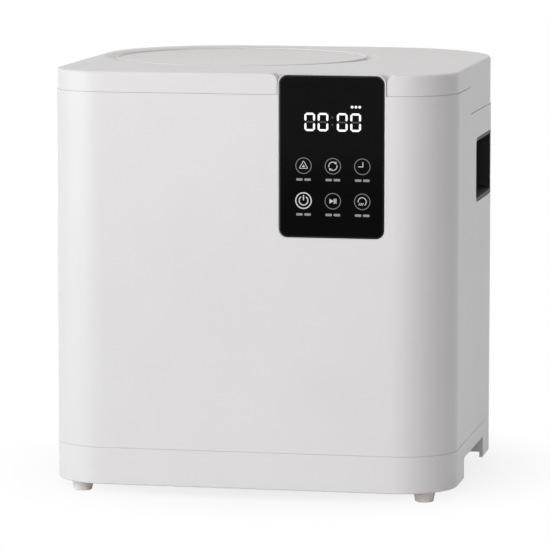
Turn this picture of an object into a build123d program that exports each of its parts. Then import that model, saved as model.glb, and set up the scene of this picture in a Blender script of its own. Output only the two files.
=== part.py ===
from build123d import *
from math import acos, atan2, cos, degrees, hypot, pi, radians, sin, tan
import os

# Electric food waste composter. Millimetres, +Z up, front towards -Y.
# The origin is on the ground, under the middle of the case.

# ---------------------------------------------------------------- case
WIDTH = 290.0
DEPTH = 283.0
FRONT_RADIUS = 40.0
REAR_RADIUS = 95.0
FOOT_HEIGHT = 8.0
SKIRT_TOP = 34.4
TOP = 302.4
LID_SKIRT = 14.8
REAR_SKIRT = 34.4
STEP_BACK = 94.5
WALL = 2.6
SEAM = 0.2
SEAM_BEVEL = 0.2
FIT = 0.3
TOUCH = 0.2
RUN = 0.05

# ---------------------------------------------------------------- base
FLOOR_LOW = 26.0
FLOOR = 3.0
LIP_HEIGHT = 5.0
ARCH_BACK = 69.5
ARCH_LENGTH = 94.0
ARCH_TOP = 23.5
ARCH_DEPTH = 26.0
FOOT_TOP_RADIUS = 8.0
FOOT_LOW_RADIUS = 6.4
FRONT_FOOT_INSET = (21.0, 21.5)
REAR_FOOT_INSET = (41.0, 41.5)
SCREW_RADIUS = 1.5
SCREW_HEAD = 2.8
BOSS_RADIUS = 4.5
BOSS_TOP = 60.0
BOSS_RIB = 14.0
REAR_RIB_ANGLE = 54.6
FRONT_BOSS_INSET = (14.0, 56.5)
REAR_BOSS_INSET = (47.0, 27.5)
BASE_SCREW_TOP = 52.0
RIB = 2.0
RIB_HEIGHT = 9.0
RIB_END = 33.0
RIB_PITCH = 55.0
CROSS_RIB_BACK = 46.5
CROSS_RIB_PITCH = 85.0
VENT_ROWS = 6
VENT_PITCH = 10.0
VENT_WIDTH = 4.0

# ---------------------------------------------------------------- lid
LID_INSET = 0.45
LID_EDGE = 2.0
DISH_RADIUS = 101.5
DISH_MARGIN = 6.5
DISH_FROM_REAR = 116.5
DISH_SLOPE = 8.0
DISH_DEPTH = 2.8
DISH_ROUND = 2.5
DISH_GROOVE = 0.5
DISC_SLOPE = 0.6
DISC_DROP = 0.9
DISC_RIM = 1.2
DISC_HOLLOW = 1.0
LINER_DROP = 14.0
LINER = 2.0
HINGE_RADIUS = 4.5
HINGE_RISE = 3.2
STEM_BACK = 3.0
PIN_RADIUS = 1.5
KNUCKLE_X = 42.0
LID_KNUCKLE = 10.0
BODY_KNUCKLE = 6.6
KNUCKLE_GAP = 0.4
SEAL_WIDTH = 6.0
SEAL_GAP = 0.3
MAGNET_RADIUS = 4.0
MAGNET_HEIGHT = 3.0
MAGNET_INSET = (33.0, 29.5)
LID_SCREW_FRONT = (27.0, 49.5)
LID_SCREW_MIDDLE = (-20.0, 21.5)
LID_SCREW_SIDE = (15.0, 111.5)
LID_SCREW_REAR = (55.0, 49.5)

# ---------------------------------------------------------------- display
GLASS_INSET = 46.9
GLASS_WIDTH = 74.4
GLASS_DROP = 1.0
GLASS_HEIGHT = 113.5
GLASS_RADIUS = 6.0
GLASS = 1.8
GLASS_SINK = 0.2
GLASS_BEVEL = 0.7
TONGUE_SIDE = 1.3
TONGUE_DEPTH = 10.0
TONGUE_WALL = 5.0
TONGUE_SKIN = 1.8
TONGUE_CROWN = 6.0
NOTCH_GAP = 0.4
NOTCH_FLARE = 5.6
BOARD = 1.6
BOARD_INSET = 19.0
BOARD_BACK = 57.5
BOARD_TO_MOTOR = 6.75
BOARD_LONG = 112.0
BOARD_POST = 6.0
BOARD_RISE = 10.0
KEY_INSET = 17.3
KEY_PITCH = 20.8
KEY_LOW_RISE = 26.0
KEY_ROW_PITCH = 24.5
KEY_RADIUS = 6.0
DIGITS_INSET = 12.2
DIGITS_RISE = 70.1
DIGITS_HEIGHT = 26.0
SWITCH_INSET = (27.0, 37.5)

# ---------------------------------------------------------------- hand grips
GRIP_FROM_REAR = 79.5
GRIP_LENGTH = 80.5
GRIP_DROP = 55.9
GRIP_HEIGHT = 42.5
GRIP_DEPTH = 19.0
GRIP_WALL = 2.0
GRIP_RADIUS = 4.0
GRIP_ROOF_DROP = 7.0
GRIP_SILL_RISE = 4.0

# ---------------------------------------------------------------- bucket and well
BUCKET_FROM_REAR = 116.5
DECK_DROP = 18.1
DECK = 2.4
DECK_INSET = 6.2
DECK_FROM_REAR = 23.5
LEDGE_DROP = 40.0
BUCKET_RADIUS = 80.5
BUCKET_DRAFT = 2.0
BUCKET_WALL = 1.5
BUCKET_LOW = 113.0
BUCKET_RIM = 7.0
RIM = 1.8
WELL_GAP = 2.0
WELL_TO_GRIP = 3.0
WELL_WALL = 1.5
WELL_LOW = 108.0
WELL_FLANGE = 6.0
HEATER = 4.0
HEATER_INNER = 45.0
HEATER_OUTER = 75.0
CHIMNEY_RADIUS = 12.4
CHIMNEY_WALL = 2.8
CHIMNEY_HEIGHT = 23.0
BAIL_TO_WALL = 5.5
BAIL_WIRE = 2.0
BAIL_DROP = 12.3
EAR_RADIUS = 3.2

# ---------------------------------------------------------------- drive
SHAFT_RADIUS = 6.0
DRIVE_FLATS = 10.0
GEARBOX_LOW = 60.0
GEARBOX_TOP = 95.0
GEARBOX_WALL = 3.0
COVER = 3.0
PRESSURE = radians(25.0)
ADDENDUM = 0.8
DEDENDUM = 1.1
BACKLASH = 0.3
OUTPUT_TEETH = 30
SMALL_TEETH = 12
SLOW_MODULE = 2.5
LARGE_TEETH = 32
PINION_TEETH = 10
FAST_MODULE = 2.0
SLOW_LOW = 70.0
SLOW_FACE = 11.0
FAST_LOW = 83.0
FAST_FACE = 8.0
IDLER_LINE = -60.0
MOTOR_LINE = 0.0
IDLER_RADIUS = 4.0
MOTOR_SHAFT = 3.0
MOTOR_RADIUS = 28.0
MOTOR_LOW = 31.0
AGITATOR_TO_WALL = 7.5
AGITATOR_GAP = 3.0
HUB_LOW_RADIUS = 20.0
HUB_TOP_RADIUS = 14.0
HUB_FLARE = 10.0

# ---------------------------------------------------------------- filter and air
DRAWER_LEFT = -43.8
DRAWER_RIGHT = 19.8
DRAWER_LOW = 46.0
DRAWER_TOP = 98.0
DRAWER_LENGTH = 63.0
DRAWER_GAP = 0.4
DRAWER_WALL = 2.0
PANEL_HALF = 49.0
PANEL_LOW = 38.0
PANEL_DROP = 62.4
PANEL_RADIUS = 6.0
LOUVRE_LOW = 165.0
LOUVRE_PITCH = 9.0
LOUVRE_MARGIN = 20.0
LOUVRE_REACH = 32.0
FAN_FROM_REAR = 34.0
FAN_Z = 71.0
FAN_HALF = 29.0
FAN_DEPTH = 15.0
FAN_BORE = 26.0
FAN_HUB = 13.0
FAN_BLADES = 7
GASKET = 2.2
DUCT_WALL = 2.0
DUCT_SIDE = 34.0
DUCT_INSET = (70.0, 44.5)
DUCT_CORNER = 13.0
DUCT_OVERLAP = 11.0
PORT_WIDTH = 24.0
PORT_DROP = 30.4
PORT_HEIGHT = 20.0
INLET_X = 22.0
INLET_Z = 125.0
INLET_WIDTH = 27.6
INLET_HEIGHT = 20.0

# ---------------------------------------------------------------- worked out
FRONT = -DEPTH / 2
REAR = DEPTH / 2
SIDE = WIDTH / 2
LID_JOINT = TOP - LID_SKIRT
REAR_JOINT = TOP - REAR_SKIRT
STEP_Y = FRONT + STEP_BACK
BASE_TOP = FLOOR_LOW + FLOOR
ARCH_FRONT = FRONT + ARCH_BACK
ARCH_REAR = ARCH_FRONT + ARCH_LENGTH
FRONT_FOOT = (SIDE - FRONT_FOOT_INSET[0], FRONT + FRONT_FOOT_INSET[1])
REAR_FOOT = (SIDE - REAR_FOOT_INSET[0], REAR - REAR_FOOT_INSET[1])
FRONT_BOSS = (SIDE - FRONT_BOSS_INSET[0], FRONT + FRONT_BOSS_INSET[1])
REAR_BOSS = (SIDE - REAR_BOSS_INSET[0], REAR - REAR_BOSS_INSET[1])
HINGE_Y = REAR - HINGE_RADIUS
HINGE_Z = REAR_JOINT + HINGE_RISE
SWING_RADIUS = HINGE_RADIUS + 1.6
SWING_HALF = 84.0
RAIL_HALF = KNUCKLE_X + LID_KNUCKLE / 2 + BODY_KNUCKLE + 4
DISH_X = -SIDE + DISH_MARGIN + DISH_RADIUS
DISH_Y = REAR - DISH_FROM_REAR
RAMP_FOOT = DISH_RADIUS - DISH_SLOPE
DISC_FOOT = RAMP_FOOT - DISH_GROOVE
DISC_RADIUS = DISC_FOOT - DISC_SLOPE
HOLLOW_RADIUS = DISC_RADIUS - DISC_RIM
HOLLOW_CURVE = (HOLLOW_RADIUS ** 2 + DISC_HOLLOW ** 2) / (2 * DISC_HOLLOW)
LINER_LOW = TOP - LINER_DROP
LID_SCREWS = ((LID_SCREW_FRONT[0] - SIDE, FRONT + LID_SCREW_FRONT[1]),
              (SIDE - LID_SCREW_FRONT[0], FRONT + LID_SCREW_FRONT[1]),
              (LID_SCREW_MIDDLE[0], FRONT + LID_SCREW_MIDDLE[1]),
              (SIDE - LID_SCREW_SIDE[0], REAR - LID_SCREW_SIDE[1]),
              (SIDE - LID_SCREW_REAR[0], REAR - LID_SCREW_REAR[1]))
GLASS_RIGHT = SIDE - GLASS_INSET
GLASS_LEFT = GLASS_RIGHT - GLASS_WIDTH
GLASS_TOP = TOP - GLASS_DROP
GLASS_LOW = GLASS_TOP - GLASS_HEIGHT
TONGUE_LEFT = GLASS_LEFT - TONGUE_SIDE
TONGUE_RIGHT = GLASS_RIGHT + TONGUE_SIDE
TONGUE_BACK = FRONT + TONGUE_DEPTH
GRIP_REAR = REAR - GRIP_FROM_REAR
GRIP_FRONT = GRIP_REAR - GRIP_LENGTH
GRIP_TOP = TOP - GRIP_DROP
GRIP_LOW = GRIP_TOP - GRIP_HEIGHT
WELL_RADIUS = BUCKET_RADIUS + WELL_GAP
BUCKET_X = -SIDE + GRIP_DEPTH + GRIP_WALL + WELL_TO_GRIP + WELL_RADIUS + WELL_WALL
BUCKET_Y = REAR - BUCKET_FROM_REAR
DECK_TOP = TOP - DECK_DROP
DECK_REAR = REAR - DECK_FROM_REAR
DECK_BORE = WELL_RADIUS + 0.7
LEDGE_TOP = TOP - LEDGE_DROP
SEAL_SEAT = DECK_BORE - 1.0
RIM_TOP = DECK_TOP + RIM
RIM_RADIUS = BUCKET_RADIUS + BUCKET_RIM
BAIL_RADIUS = BUCKET_RADIUS - BAIL_TO_WALL
AGITATOR_REACH = BUCKET_RADIUS - AGITATOR_TO_WALL
BAIL_Z = DECK_TOP - BAIL_DROP
SLOW_CENTRES = SLOW_MODULE * (OUTPUT_TEETH + SMALL_TEETH) / 2
FAST_CENTRES = FAST_MODULE * (LARGE_TEETH + PINION_TEETH) / 2
IDLER_X = BUCKET_X + SLOW_CENTRES * cos(radians(IDLER_LINE))
IDLER_Y = BUCKET_Y + SLOW_CENTRES * sin(radians(IDLER_LINE))
MOTOR_X = IDLER_X + FAST_CENTRES * cos(radians(MOTOR_LINE))
MOTOR_Y = IDLER_Y + FAST_CENTRES * sin(radians(MOTOR_LINE))
BOARD_LEFT = MOTOR_X + MOTOR_RADIUS + BOARD_TO_MOTOR
BOARD_WIDE = SIDE - BOARD_INSET - BOARD_LEFT
BOARD_FRONT = FRONT + BOARD_BACK
COVER_TOP = GEARBOX_TOP + COVER
DRAWER_FRONT = REAR - DRAWER_LENGTH
BAY_LEFT = DRAWER_LEFT - DRAWER_GAP
BAY_RIGHT = DRAWER_RIGHT + DRAWER_GAP
BAY_LOW = DRAWER_LOW - DRAWER_GAP
BAY_TOP = DRAWER_TOP + DRAWER_GAP
BAY_FRONT = DRAWER_FRONT - 0.5
PANEL_TOP = TOP - PANEL_DROP
LOUVRE_ROWS = int((PANEL_TOP - LOUVRE_MARGIN - LOUVRE_LOW) / LOUVRE_PITCH) + 1
FLANGE_FRONT = REAR - WALL - TOUCH - 2.0
FAN_Y = REAR - FAN_FROM_REAR
FAN_LEFT = BAY_RIGHT + DRAWER_WALL + GASKET
FAN_RIGHT = FAN_LEFT + FAN_DEPTH
DUCT_X = SIDE - DUCT_INSET[0]
DUCT_Y = REAR - DUCT_INSET[1]
PORT_TOP = TOP - PORT_DROP
PORT_LOW = PORT_TOP - PORT_HEIGHT
PORT_AIM = atan2(DUCT_Y - BUCKET_Y, DUCT_X - BUCKET_X)
PORT_REACH = hypot(DUCT_X - BUCKET_X, DUCT_Y - BUCKET_Y) - DUCT_OVERLAP


# ---------------------------------------------------------------- helpers
def plan(inset=0.0):
    """The case seen from above, moved inwards by inset."""
    outline = Rectangle(WIDTH - 2 * inset, DEPTH - 2 * inset)
    outline = fillet(outline.vertices().group_by(Axis.Y)[0], FRONT_RADIUS - inset)
    return fillet(outline.vertices().group_by(Axis.Y)[-1], REAR_RADIUS - inset)


def prism(sketch, low, high):
    return extrude(Pos(0, 0, low) * sketch, high - low)


def block(left, right, front, rear, low, high):
    centre = Pos((left + right) / 2, (front + rear) / 2, (low + high) / 2)
    return centre * Box(right - left, rear - front, high - low)


def disc(x, y, radius, low, high):
    return Pos(x, y, (low + high) / 2) * Cylinder(radius, high - low)


def ring(x, y, outer, inner, low, high):
    return disc(x, y, outer, low, high) - disc(x, y, inner, low, high)


def bar(left, right, y, z, radius):
    """A round bar along X."""
    return Pos((left + right) / 2, y, z) * Rot(0, 90, 0) * Cylinder(radius, right - left)


def rounded_x(left, right, front, rear, low, high, radius):
    """A block along X whose four long edges are rounded."""
    solid = block(left, right, front, rear, low, high)
    return fillet(solid.edges().filter_by(Axis.X), radius)


def rounded_y(left, right, front, rear, low, high, radius):
    """A block along Y whose four long edges are rounded."""
    solid = block(left, right, front, rear, low, high)
    return fillet(solid.edges().filter_by(Axis.Y), radius)


def rounded_z(left, right, front, rear, low, high, radius):
    """A block along Z whose four upright edges are rounded."""
    solid = block(left, right, front, rear, low, high)
    return fillet(solid.edges().filter_by(Axis.Z), radius)


def spun(points, round_corners=()):
    """A solid of revolution about the bucket's axis, from (radius, height) points."""
    outline = make_face(Polyline(*[(r, z) for r, z in points], close=True))
    for (r, z), radius in round_corners:
        corner = outline.vertices().sort_by_distance((r, z, 0))[0]
        outline = fillet(corner, radius)
    return Pos(BUCKET_X, BUCKET_Y, 0) * revolve(Plane.XZ * outline, Axis.Z)


def outline_edges(solid, z):
    """The edges of the outline at height z, without the line across at the step."""
    level = [e for e in solid.edges() if abs((e @ 0).Z - z) + abs((e @ 1).Z - z) < 0.01]
    return [e for e in level if abs((e @ 0).Y - (e @ 1).Y) > 0.01 or abs((e @ 0).Y) > abs(STEP_Y) + 1]


def corners(front, rear):
    """The four places (x, y) of a piece that repeats at each corner of the case."""
    return [(side * x, y) for x, y in (front, rear) for side in (-1, 1)]


def group(solids):
    return Compound(list(solids))


def save(name, shape):
    export_step(shape, f"parts/{name}.step")


# ---------------------------------------------------------------- base
def make_base_tray():
    top = SKIRT_TOP - SEAM / 2
    skirt = prism(plan(), FOOT_HEIGHT, top)
    skirt = chamfer(skirt.edges().group_by(Axis.Z)[-1], SEAM_BEVEL)
    skirt = fillet(skirt.edges().group_by(Axis.Z)[0], 1.0)
    skirt -= prism(plan(WALL), FOOT_HEIGHT, FLOOR_LOW)
    skirt -= prism(plan(WALL), BASE_TOP, top)
    lip = plan(WALL + TOUCH) - plan(2 * WALL + TOUCH)
    tray = skirt + prism(lip, BASE_TOP, top + LIP_HEIGHT)
    tray -= arch(-1) + arch(1)
    for side in (-1, 1):
        inner = side * (SIDE - ARCH_DEPTH)
        ends = sorted((inner, inner + side * WALL))
        tray += block(*ends, ARCH_FRONT - WALL, ARCH_REAR + WALL, FOOT_HEIGHT + 4, FLOOR_LOW)
        reach = sorted((inner, side * (SIDE - WALL / 2)))
        for y in (ARCH_FRONT - WALL, ARCH_REAR):
            tray += block(*reach, y, y + WALL, FOOT_HEIGHT + 4, FLOOR_LOW)
    for x, y in corners(FRONT_FOOT, REAR_FOOT):
        tray += disc(x, y, FOOT_TOP_RADIUS + 2, FOOT_HEIGHT, FLOOR_LOW)
        tray -= disc(x, y, SCREW_RADIUS, FOOT_HEIGHT, FLOOR_LOW)
    rib_low = FLOOR_LOW - RIB_HEIGHT
    for x in (-RIB_PITCH, 0.0, RIB_PITCH):
        tray += block(x - RIB / 2, x + RIB / 2, FRONT + 2 * WALL, REAR - 2 * WALL, rib_low, FLOOR_LOW)
    for row in range(3):
        y = FRONT + CROSS_RIB_BACK + CROSS_RIB_PITCH * row
        tray += block(RIB_END - SIDE, SIDE - RIB_END, y - RIB / 2, y + RIB / 2, rib_low, FLOOR_LOW)
    for x, y in gearbox_posts():
        tray += disc(x, y, BOSS_RADIUS, BASE_TOP, GEARBOX_LOW)
    for x, y in board_posts():
        tray += disc(x, y, 3.0, BASE_TOP, BASE_TOP + BOARD_RISE)
    for x, y in corners(FRONT_BOSS, REAR_BOSS):
        tray -= disc(x, y, SCREW_RADIUS, FLOOR_LOW, BASE_TOP)
    for row in range(VENT_ROWS):
        x = MOTOR_X + VENT_PITCH * (row - (VENT_ROWS - 1) / 2)
        tray -= rounded_z(x - VENT_WIDTH / 2, x + VENT_WIDTH / 2, MOTOR_Y - 32, MOTOR_Y - 14,
                          FLOOR_LOW, BASE_TOP, 0.45 * VENT_WIDTH)
    return tray


def arch(side):
    """The lifting cut-out in one side of the skirt."""
    ends = sorted((side * (SIDE - WALL - 1), side * (SIDE + 1)))
    cut = block(*ends, ARCH_FRONT, ARCH_REAR, FOOT_HEIGHT - 1, ARCH_TOP)
    return fillet(cut.edges().filter_by(Axis.X).group_by(Axis.Z)[-1], 3.0)


def gearbox_posts():
    return [(BUCKET_X - 31, BUCKET_Y), (BUCKET_X, BUCKET_Y + 33),
            (IDLER_X - 13, IDLER_Y - 26), (MOTOR_X - 21, MOTOR_Y + 36)]


def board_posts():
    inset = BOARD_POST
    return [(x, y) for x in (BOARD_LEFT + inset, BOARD_LEFT + BOARD_WIDE - inset)
            for y in (BOARD_FRONT + inset, BOARD_FRONT + BOARD_LONG - inset)]


def make_feet():
    pad = Pos(0, 0, FOOT_HEIGHT / 2) * Cone(FOOT_LOW_RADIUS, FOOT_TOP_RADIUS, FOOT_HEIGHT)
    pad = fillet(pad.edges().group_by(Axis.Z)[0], 0.8)
    pad -= disc(0, 0, 3.2, 0, 3)
    pad -= disc(0, 0, SCREW_RADIUS, 3, FOOT_HEIGHT)
    return group([Pos(x, y, 0) * pad for x, y in corners(FRONT_FOOT, REAR_FOOT)])


def make_foot_screws():
    screw = disc(0, 0, SCREW_HEAD, 1.4, 3.0) + disc(0, 0, SCREW_RADIUS, 3.0, FLOOR_LOW - 6)
    return group([Pos(x, y, 0) * screw for x, y in corners(FRONT_FOOT, REAR_FOOT)])


def make_base_screws():
    screw = disc(0, 0, SCREW_HEAD, FLOOR_LOW - 1.8, FLOOR_LOW)
    screw += disc(0, 0, SCREW_RADIUS, FLOOR_LOW, BASE_SCREW_TOP)
    return group([Pos(x, y, 0) * screw for x, y in corners(FRONT_BOSS, REAR_BOSS)])


# ---------------------------------------------------------------- case
def make_main_shell():
    low = SKIRT_TOP + SEAM / 2
    high = LID_JOINT - SEAM / 2
    rear_high = REAR_JOINT - SEAM / 2
    shell = prism(plan(), low, high)
    shell -= block(-WIDTH, WIDTH, STEP_Y - SEAM, DEPTH, rear_high, TOP)
    shell = chamfer(outline_edges(shell, low), SEAM_BEVEL)
    shell = chamfer(outline_edges(shell, high), SEAM_BEVEL)
    shell = chamfer(outline_edges(shell, rear_high), SEAM_BEVEL)
    shell -= prism(plan(WALL), low, high)
    shelf = plan(WALL) - plan(WALL + 3)
    shell += prism(shelf, LEDGE_TOP - DECK - 3, LEDGE_TOP - DECK)
    for x, y in corners(FRONT_BOSS, REAR_BOSS):
        shell += screw_boss(x, y)
    for x, y in corners(FRONT_BOSS, REAR_BOSS):
        shell -= disc(x, y, SCREW_RADIUS, low, BASE_SCREW_TOP)
    shell += make_tongue()
    shell -= tongue_hollow()
    shell += board_pads()
    shell -= grip_window(-1) + grip_window(1)
    shell -= rounded_y(-PANEL_HALF, PANEL_HALF, REAR - 2 * WALL, REAR + 1, PANEL_LOW, PANEL_TOP,
                       PANEL_RADIUS)
    return hinge_rail(shell)


def screw_boss(x, y):
    """A boss for a base screw, joined to the nearest wall by a rib."""
    low = SKIRT_TOP + SEAM / 2 + LIP_HEIGHT
    height = BOSS_TOP - low
    turn = REAR_RIB_ANGLE if y > 0 else 0.0
    if x < 0:
        turn = 180.0 - turn
    rib = Rot(0, 0, turn) * Pos(BOSS_RIB / 2, 0, 0) * Box(BOSS_RIB, RIB, height)
    rib = Pos(x, y, low + height / 2) * rib
    return disc(x, y, BOSS_RADIUS, low, BOSS_TOP) + (rib & prism(plan(WALL / 2), low, BOSS_TOP))


def make_tongue():
    """The part of the front wall that stands up through the lid and holds the glass."""
    tongue = block(TONGUE_LEFT, TONGUE_RIGHT, FRONT, TONGUE_BACK, GLASS_LOW - 6, TOP)
    shoulders = tongue.edges().filter_by(Axis.Y).group_by(Axis.Z)[-1]
    tongue = fillet(shoulders, GLASS_RADIUS + TONGUE_SIDE)
    top = [e for e in tongue.edges() if (e @ 0).Z > LID_JOINT and (e @ 1).Z > LID_JOINT
           and abs((e @ 0).Y - FRONT) < 0.01 and abs((e @ 1).Y - FRONT) < 0.01]
    return chamfer(top, SEAM_BEVEL)


def tongue_hollow():
    """What is cut out of the tongue: the glass's seat, its window and the board's space."""
    inner_front = FRONT + TONGUE_WALL
    seat_back = FRONT + GLASS_SINK + GLASS
    edge = 0.1
    seat = rounded_y(GLASS_LEFT - edge, GLASS_RIGHT + edge, FRONT - 1, seat_back,
                     GLASS_LOW - edge, GLASS_TOP + edge, GLASS_RADIUS)
    mouth = chamfered_mouth(GLASS_BEVEL)
    window = block(GLASS_LEFT + 6, GLASS_RIGHT - 6, FRONT, inner_front, GLASS_LOW + 8, GLASS_TOP - 9)
    left, right = TONGUE_LEFT + TONGUE_SKIN, TONGUE_RIGHT - TONGUE_SKIN
    room = block(left, right, inner_front, TONGUE_BACK - 2.0, GLASS_LOW - 3.6, TOP - TONGUE_CROWN)
    back = block(left, right, inner_front, TONGUE_BACK + 1, GLASS_LOW - 3.6, DECK_TOP - 4.3)
    return seat + mouth + window + room + back


def chamfered_mouth(width):
    """The sloped edge round the glass, as a tapered cut from the front face."""
    centre_x = (GLASS_LEFT + GLASS_RIGHT) / 2
    centre_z = (GLASS_LOW + GLASS_TOP) / 2
    wide, high = GLASS_RIGHT - GLASS_LEFT, GLASS_TOP - GLASS_LOW
    outer = RectangleRounded(wide + 2 * width, high + 2 * width, GLASS_RADIUS + width)
    inner = RectangleRounded(wide, high, GLASS_RADIUS)
    facing = Plane(origin=(centre_x, FRONT, centre_z), x_dir=(1, 0, 0), z_dir=(0, -1, 0))
    return loft([facing * outer, facing.offset(-width) * inner])


def board_pads():
    pads = None
    for x in (GLASS_LEFT + 3.2, GLASS_RIGHT - 3.2):
        for z in (GLASS_LOW + 12, GLASS_TOP - 14):
            pad = Pos(x, FRONT + TONGUE_WALL + 0.3, z) * Rot(90, 0, 0) * Cylinder(2.0, 0.6)
            pads = pad if pads is None else pads + pad
    return pads


def grip_window(side):
    ends = sorted((side * (SIDE - 3 * WALL), side * (SIDE + 1)))
    room = GRIP_WALL + FIT
    return rounded_x(*ends, GRIP_FRONT - room, GRIP_REAR + room, GRIP_LOW - room, GRIP_TOP + room,
                     GRIP_RADIUS + room)


def hinge_rail(shell):
    """Adds the rail and the fixed hinge knuckles, and makes room for the lid's swing."""
    front, top = HINGE_Y - HINGE_RADIUS, LEDGE_TOP - TOUCH
    shell += block(-RAIL_HALF, RAIL_HALF, front, REAR - WALL / 2, top - 8, top)
    shell -= bar(-SWING_HALF, SWING_HALF, HINGE_Y, HINGE_Z, SWING_RADIUS)
    for x, half in fixed_knuckles():
        shell += bar(x - half, x + half, HINGE_Y, HINGE_Z, HINGE_RADIUS)
        shell += block(x - half, x + half, front, HINGE_Y + STEM_BACK, top - 4, HINGE_Z)
    return shell - bar(-RAIL_HALF, RAIL_HALF, HINGE_Y, HINGE_Z, PIN_RADIUS)


def fixed_knuckles():
    """The middle and half length of each knuckle on the case."""
    offset = LID_KNUCKLE / 2 + KNUCKLE_GAP + BODY_KNUCKLE / 2
    return [(side * (KNUCKLE_X + way * offset), BODY_KNUCKLE / 2) for side in (-1, 1) for way in (-1, 1)]


def make_hinge_pins():
    half = LID_KNUCKLE / 2 + KNUCKLE_GAP + BODY_KNUCKLE
    return group([bar(x - half, x + half, HINGE_Y, HINGE_Z, PIN_RADIUS) for x in (-KNUCKLE_X, KNUCKLE_X)])


def make_handle_cup(side):
    """A hand grip's cup, drafted inwards, with a mouth that follows the case's side."""
    inner = SIDE - GRIP_DEPTH - GRIP_WALL
    rim = rounded_x(inner, SIDE + 1, GRIP_FRONT - GRIP_WALL, GRIP_REAR + GRIP_WALL,
                    GRIP_LOW - GRIP_WALL, GRIP_TOP + GRIP_WALL, GRIP_RADIUS + GRIP_WALL)
    rim &= prism(plan(0.6), GRIP_LOW - 2 * GRIP_WALL, GRIP_TOP + 2 * GRIP_WALL)
    middle_y = (GRIP_FRONT + GRIP_REAR) / 2
    length = GRIP_REAR - GRIP_FRONT
    mouth = Plane(origin=(SIDE + 1, middle_y, (GRIP_LOW + GRIP_TOP) / 2), x_dir=(0, 1, 0), z_dir=(1, 0, 0))
    deep_low, deep_top = GRIP_LOW + GRIP_SILL_RISE, GRIP_TOP - GRIP_ROOF_DROP
    end = Plane(origin=(SIDE - GRIP_DEPTH, middle_y, (deep_low + deep_top) / 2), x_dir=(0, 1, 0),
                z_dir=(1, 0, 0))
    wide = RectangleRounded(length, GRIP_TOP - GRIP_LOW, GRIP_RADIUS)
    narrow = RectangleRounded(length - 6, deep_top - deep_low, GRIP_RADIUS)
    cup = rim - loft([end * narrow, mouth * wide])
    return cup if side > 0 else mirror(cup, Plane.YZ)


def make_rear_panel():
    half, low, high = PANEL_HALF - FIT, PANEL_LOW + FIT, PANEL_TOP - FIT
    panel = rounded_y(-half, half, REAR - WALL, REAR, low, high, PANEL_RADIUS - FIT)
    panel = chamfer(panel.edges().group_by(Axis.Y)[-1], SEAM_BEVEL)
    panel += rounded_y(-half - 3, half + 3, FLANGE_FRONT, REAR - WALL - TOUCH, PANEL_LOW + 3, high + 3,
                       PANEL_RADIUS)
    panel += rounded_y(-half + 1, half - 1, REAR - WALL - TOUCH, REAR - WALL, PANEL_LOW + 4, high - 1, 4)
    panel -= block(BAY_LEFT, BAY_RIGHT, FLANGE_FRONT - 1, REAR + 1, BAY_LOW, BAY_TOP)
    panel -= block(INLET_X - INLET_WIDTH / 2, INLET_X + INLET_WIDTH / 2, FLANGE_FRONT - 1, REAR + 1,
                   INLET_Z - INLET_HEIGHT / 2, INLET_Z + INLET_HEIGHT / 2)
    for row in range(LOUVRE_ROWS):
        z = LOUVRE_LOW + LOUVRE_PITCH * row
        panel -= rounded_y(-LOUVRE_REACH, LOUVRE_REACH, FLANGE_FRONT - 1, REAR + 1, z - 1.6, z + 1.6, 1.5)
    for x, z in panel_screw_points():
        panel -= Pos(x, 0, z) * Rot(-90, 0, 0) * Pos(0, 0, REAR - 4) * Cylinder(SCREW_RADIUS, 12)
        panel -= Pos(x, 0, z) * Rot(-90, 0, 0) * Pos(0, 0, REAR) * Cylinder(3.0, 3.2)
    return panel


def panel_screw_points():
    return [(x, z) for x in (-PANEL_HALF + 7, PANEL_HALF - 7) for z in (PANEL_LOW + 70, PANEL_TOP - 8)]


def make_panel_screws():
    screws = []
    for x, z in panel_screw_points():
        head = Pos(x, REAR - 0.9, z) * Rot(90, 0, 0) * Cylinder(2.8, 1.4)
        shank = Pos(x, REAR - 5.6, z) * Rot(90, 0, 0) * Cylinder(SCREW_RADIUS, 8.0)
        screws.append(head + shank)
    return group(screws)


def make_power_inlet():
    """A three-pin inlet that is clipped in from behind the panel."""
    half_x, half_z = INLET_WIDTH / 2, INLET_HEIGHT / 2
    left, right, low, high = INLET_X - half_x, INLET_X + half_x, INLET_Z - half_z, INLET_Z + half_z
    inlet = block(left, right, REAR - 24, REAR - 0.3, low, high)
    inlet += block(left - 3, right + 3, FLANGE_FRONT - 2, FLANGE_FRONT, low - 3, high + 3)
    inlet -= rounded_y(left + 2, right - 2, REAR - 17, REAR, low + 2, high - 2, 2)
    for x, z in ((-7.0, -2.0), (0.0, 2.0), (7.0, -2.0)):
        x, z = INLET_X + x, INLET_Z + z
        inlet += block(x - 1, x + 1, REAR - 18, REAR - 5, z - 2, z + 2)
    return inlet


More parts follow.
